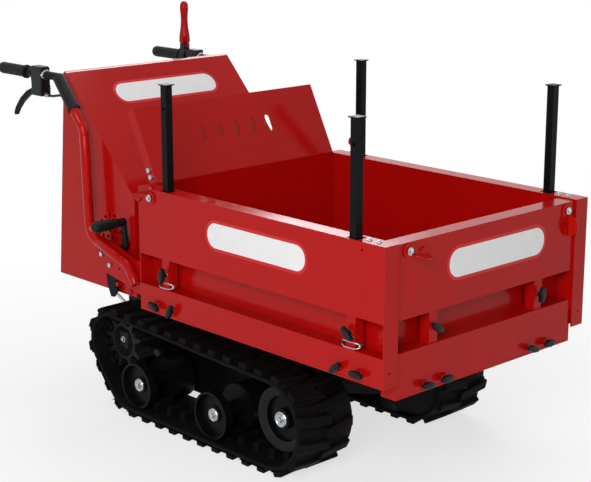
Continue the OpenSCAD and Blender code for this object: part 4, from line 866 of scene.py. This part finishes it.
# %% [markdown]
# ## Studio
# The photograph is a cut-out on white. A pale floor takes a soft shadow and fades to white away from the
# machine, the world is white to the camera and in reflections, and large lamps give broad highlights. More
# light would whiten the floor as well, but it would bleach the paint; rays that only look are told apart here.

# %% Floor


def looking_rays(tree):
    """1 for rays from the camera, in a mirror or through glass, and 0 for rays that carry light."""
    path = add(tree, "ShaderNodeLightPath").outputs
    direct = add(
        tree, "ShaderNodeMath", {0: path["Is Camera Ray"], 1: path["Is Glossy Ray"]}, operation="MAXIMUM"
    )
    either = {0: direct.outputs["Value"], 1: path["Is Transmission Ray"]}
    return add(tree, "ShaderNodeMath", either, operation="MAXIMUM").outputs["Value"]


bm = bmesh.new()
bmesh.ops.create_grid(bm, x_segments=1, y_segments=1, size=30)
floor_mesh = bpy.data.meshes.new("studio_floor")
bm.to_mesh(floor_mesh)
bm.free()
floor = bpy.data.objects.new("studio_floor", floor_mesh)
scene.collection.objects.link(floor)
PAPER, tree, place = new_finish("pale_studio_paper")
fibre = add(tree, "ShaderNodeTexNoise", {"Vector": place, "Scale": 1 / (400 * MM), "Detail": 2.0})
tint = add(
    tree, "ShaderNodeMix", {0: fibre.outputs["Fac"], 6: linear("#F2F2F1"), 7: linear("#F7F7F6")}, data_type="RGBA"
)
paper = add(tree, "ShaderNodeBsdfPrincipled", {"Base Color": tint.outputs[2], "Roughness": 0.9})
white = add(tree, "ShaderNodeEmission", {"Color": (1, 1, 1, 1), "Strength": 1.0})
distance = add(tree, "ShaderNodeVectorMath", {0: place}, operation="LENGTH")
fade = add(
    tree, "ShaderNodeMapRange",
    {"Value": distance.outputs["Value"], "From Min": 0.6, "From Max": 1.8, "To Min": 0.68, "To Max": 1.0},
)
share = add(
    tree, "ShaderNodeMath", {0: fade.outputs["Result"], 1: looking_rays(tree)}, operation="MULTIPLY"
)
mixed = add(
    tree, "ShaderNodeMixShader",
    {0: share.outputs["Value"], 1: paper.outputs["BSDF"], 2: white.outputs["Emission"]},
)
add(tree, "ShaderNodeOutputMaterial", {"Surface": mixed.outputs["Shader"]})
floor_mesh.materials.append(PAPER)
print(PAPER.name, "on the floor")

# %% World
world = bpy.data.worlds.new("white_studio")
scene.world = world
world.use_nodes = True
tree = world.node_tree
tree.nodes.clear()
strength = add(tree, "ShaderNodeMapRange", {"Value": looking_rays(tree), "To Min": 0.24, "To Max": 1.0})
sky = add(tree, "ShaderNodeBackground", {"Color": (1, 1, 1, 1), "Strength": strength.outputs["Result"]})
add(tree, "ShaderNodeOutputWorld", {"Surface": sky.outputs["Background"]})
print(world.name)

# %% Lamps


def soft_lamp(name, place, target, width, watts):
    """A round lamp, as wide as given in metres, that faces a target."""
    data = bpy.data.lights.new(name, "AREA")
    data.shape = "DISK"
    data.size = width
    data.energy = watts
    lamp = bpy.data.objects.new(name, data)
    lamp.location = place
    lamp.rotation_mode = "QUATERNION"
    lamp.rotation_quaternion = (Vector(target) - Vector(place)).to_track_quat("-Z", "Y")
    scene.collection.objects.link(lamp)


MIDDLE = (0, 0, 0.5)
soft_lamp("key_lamp", (-3.5, -2.5, 2.3), MIDDLE, 2.2, 128)
soft_lamp("top_lamp", (0.6, 0.3, 4.2), MIDDLE, 3.0, 45)
soft_lamp("rear_lamp", (2.5, 2.8, 2.6), MIDDLE, 2.0, 50)
scene.view_settings.view_transform = "Standard"
print("studio ready")
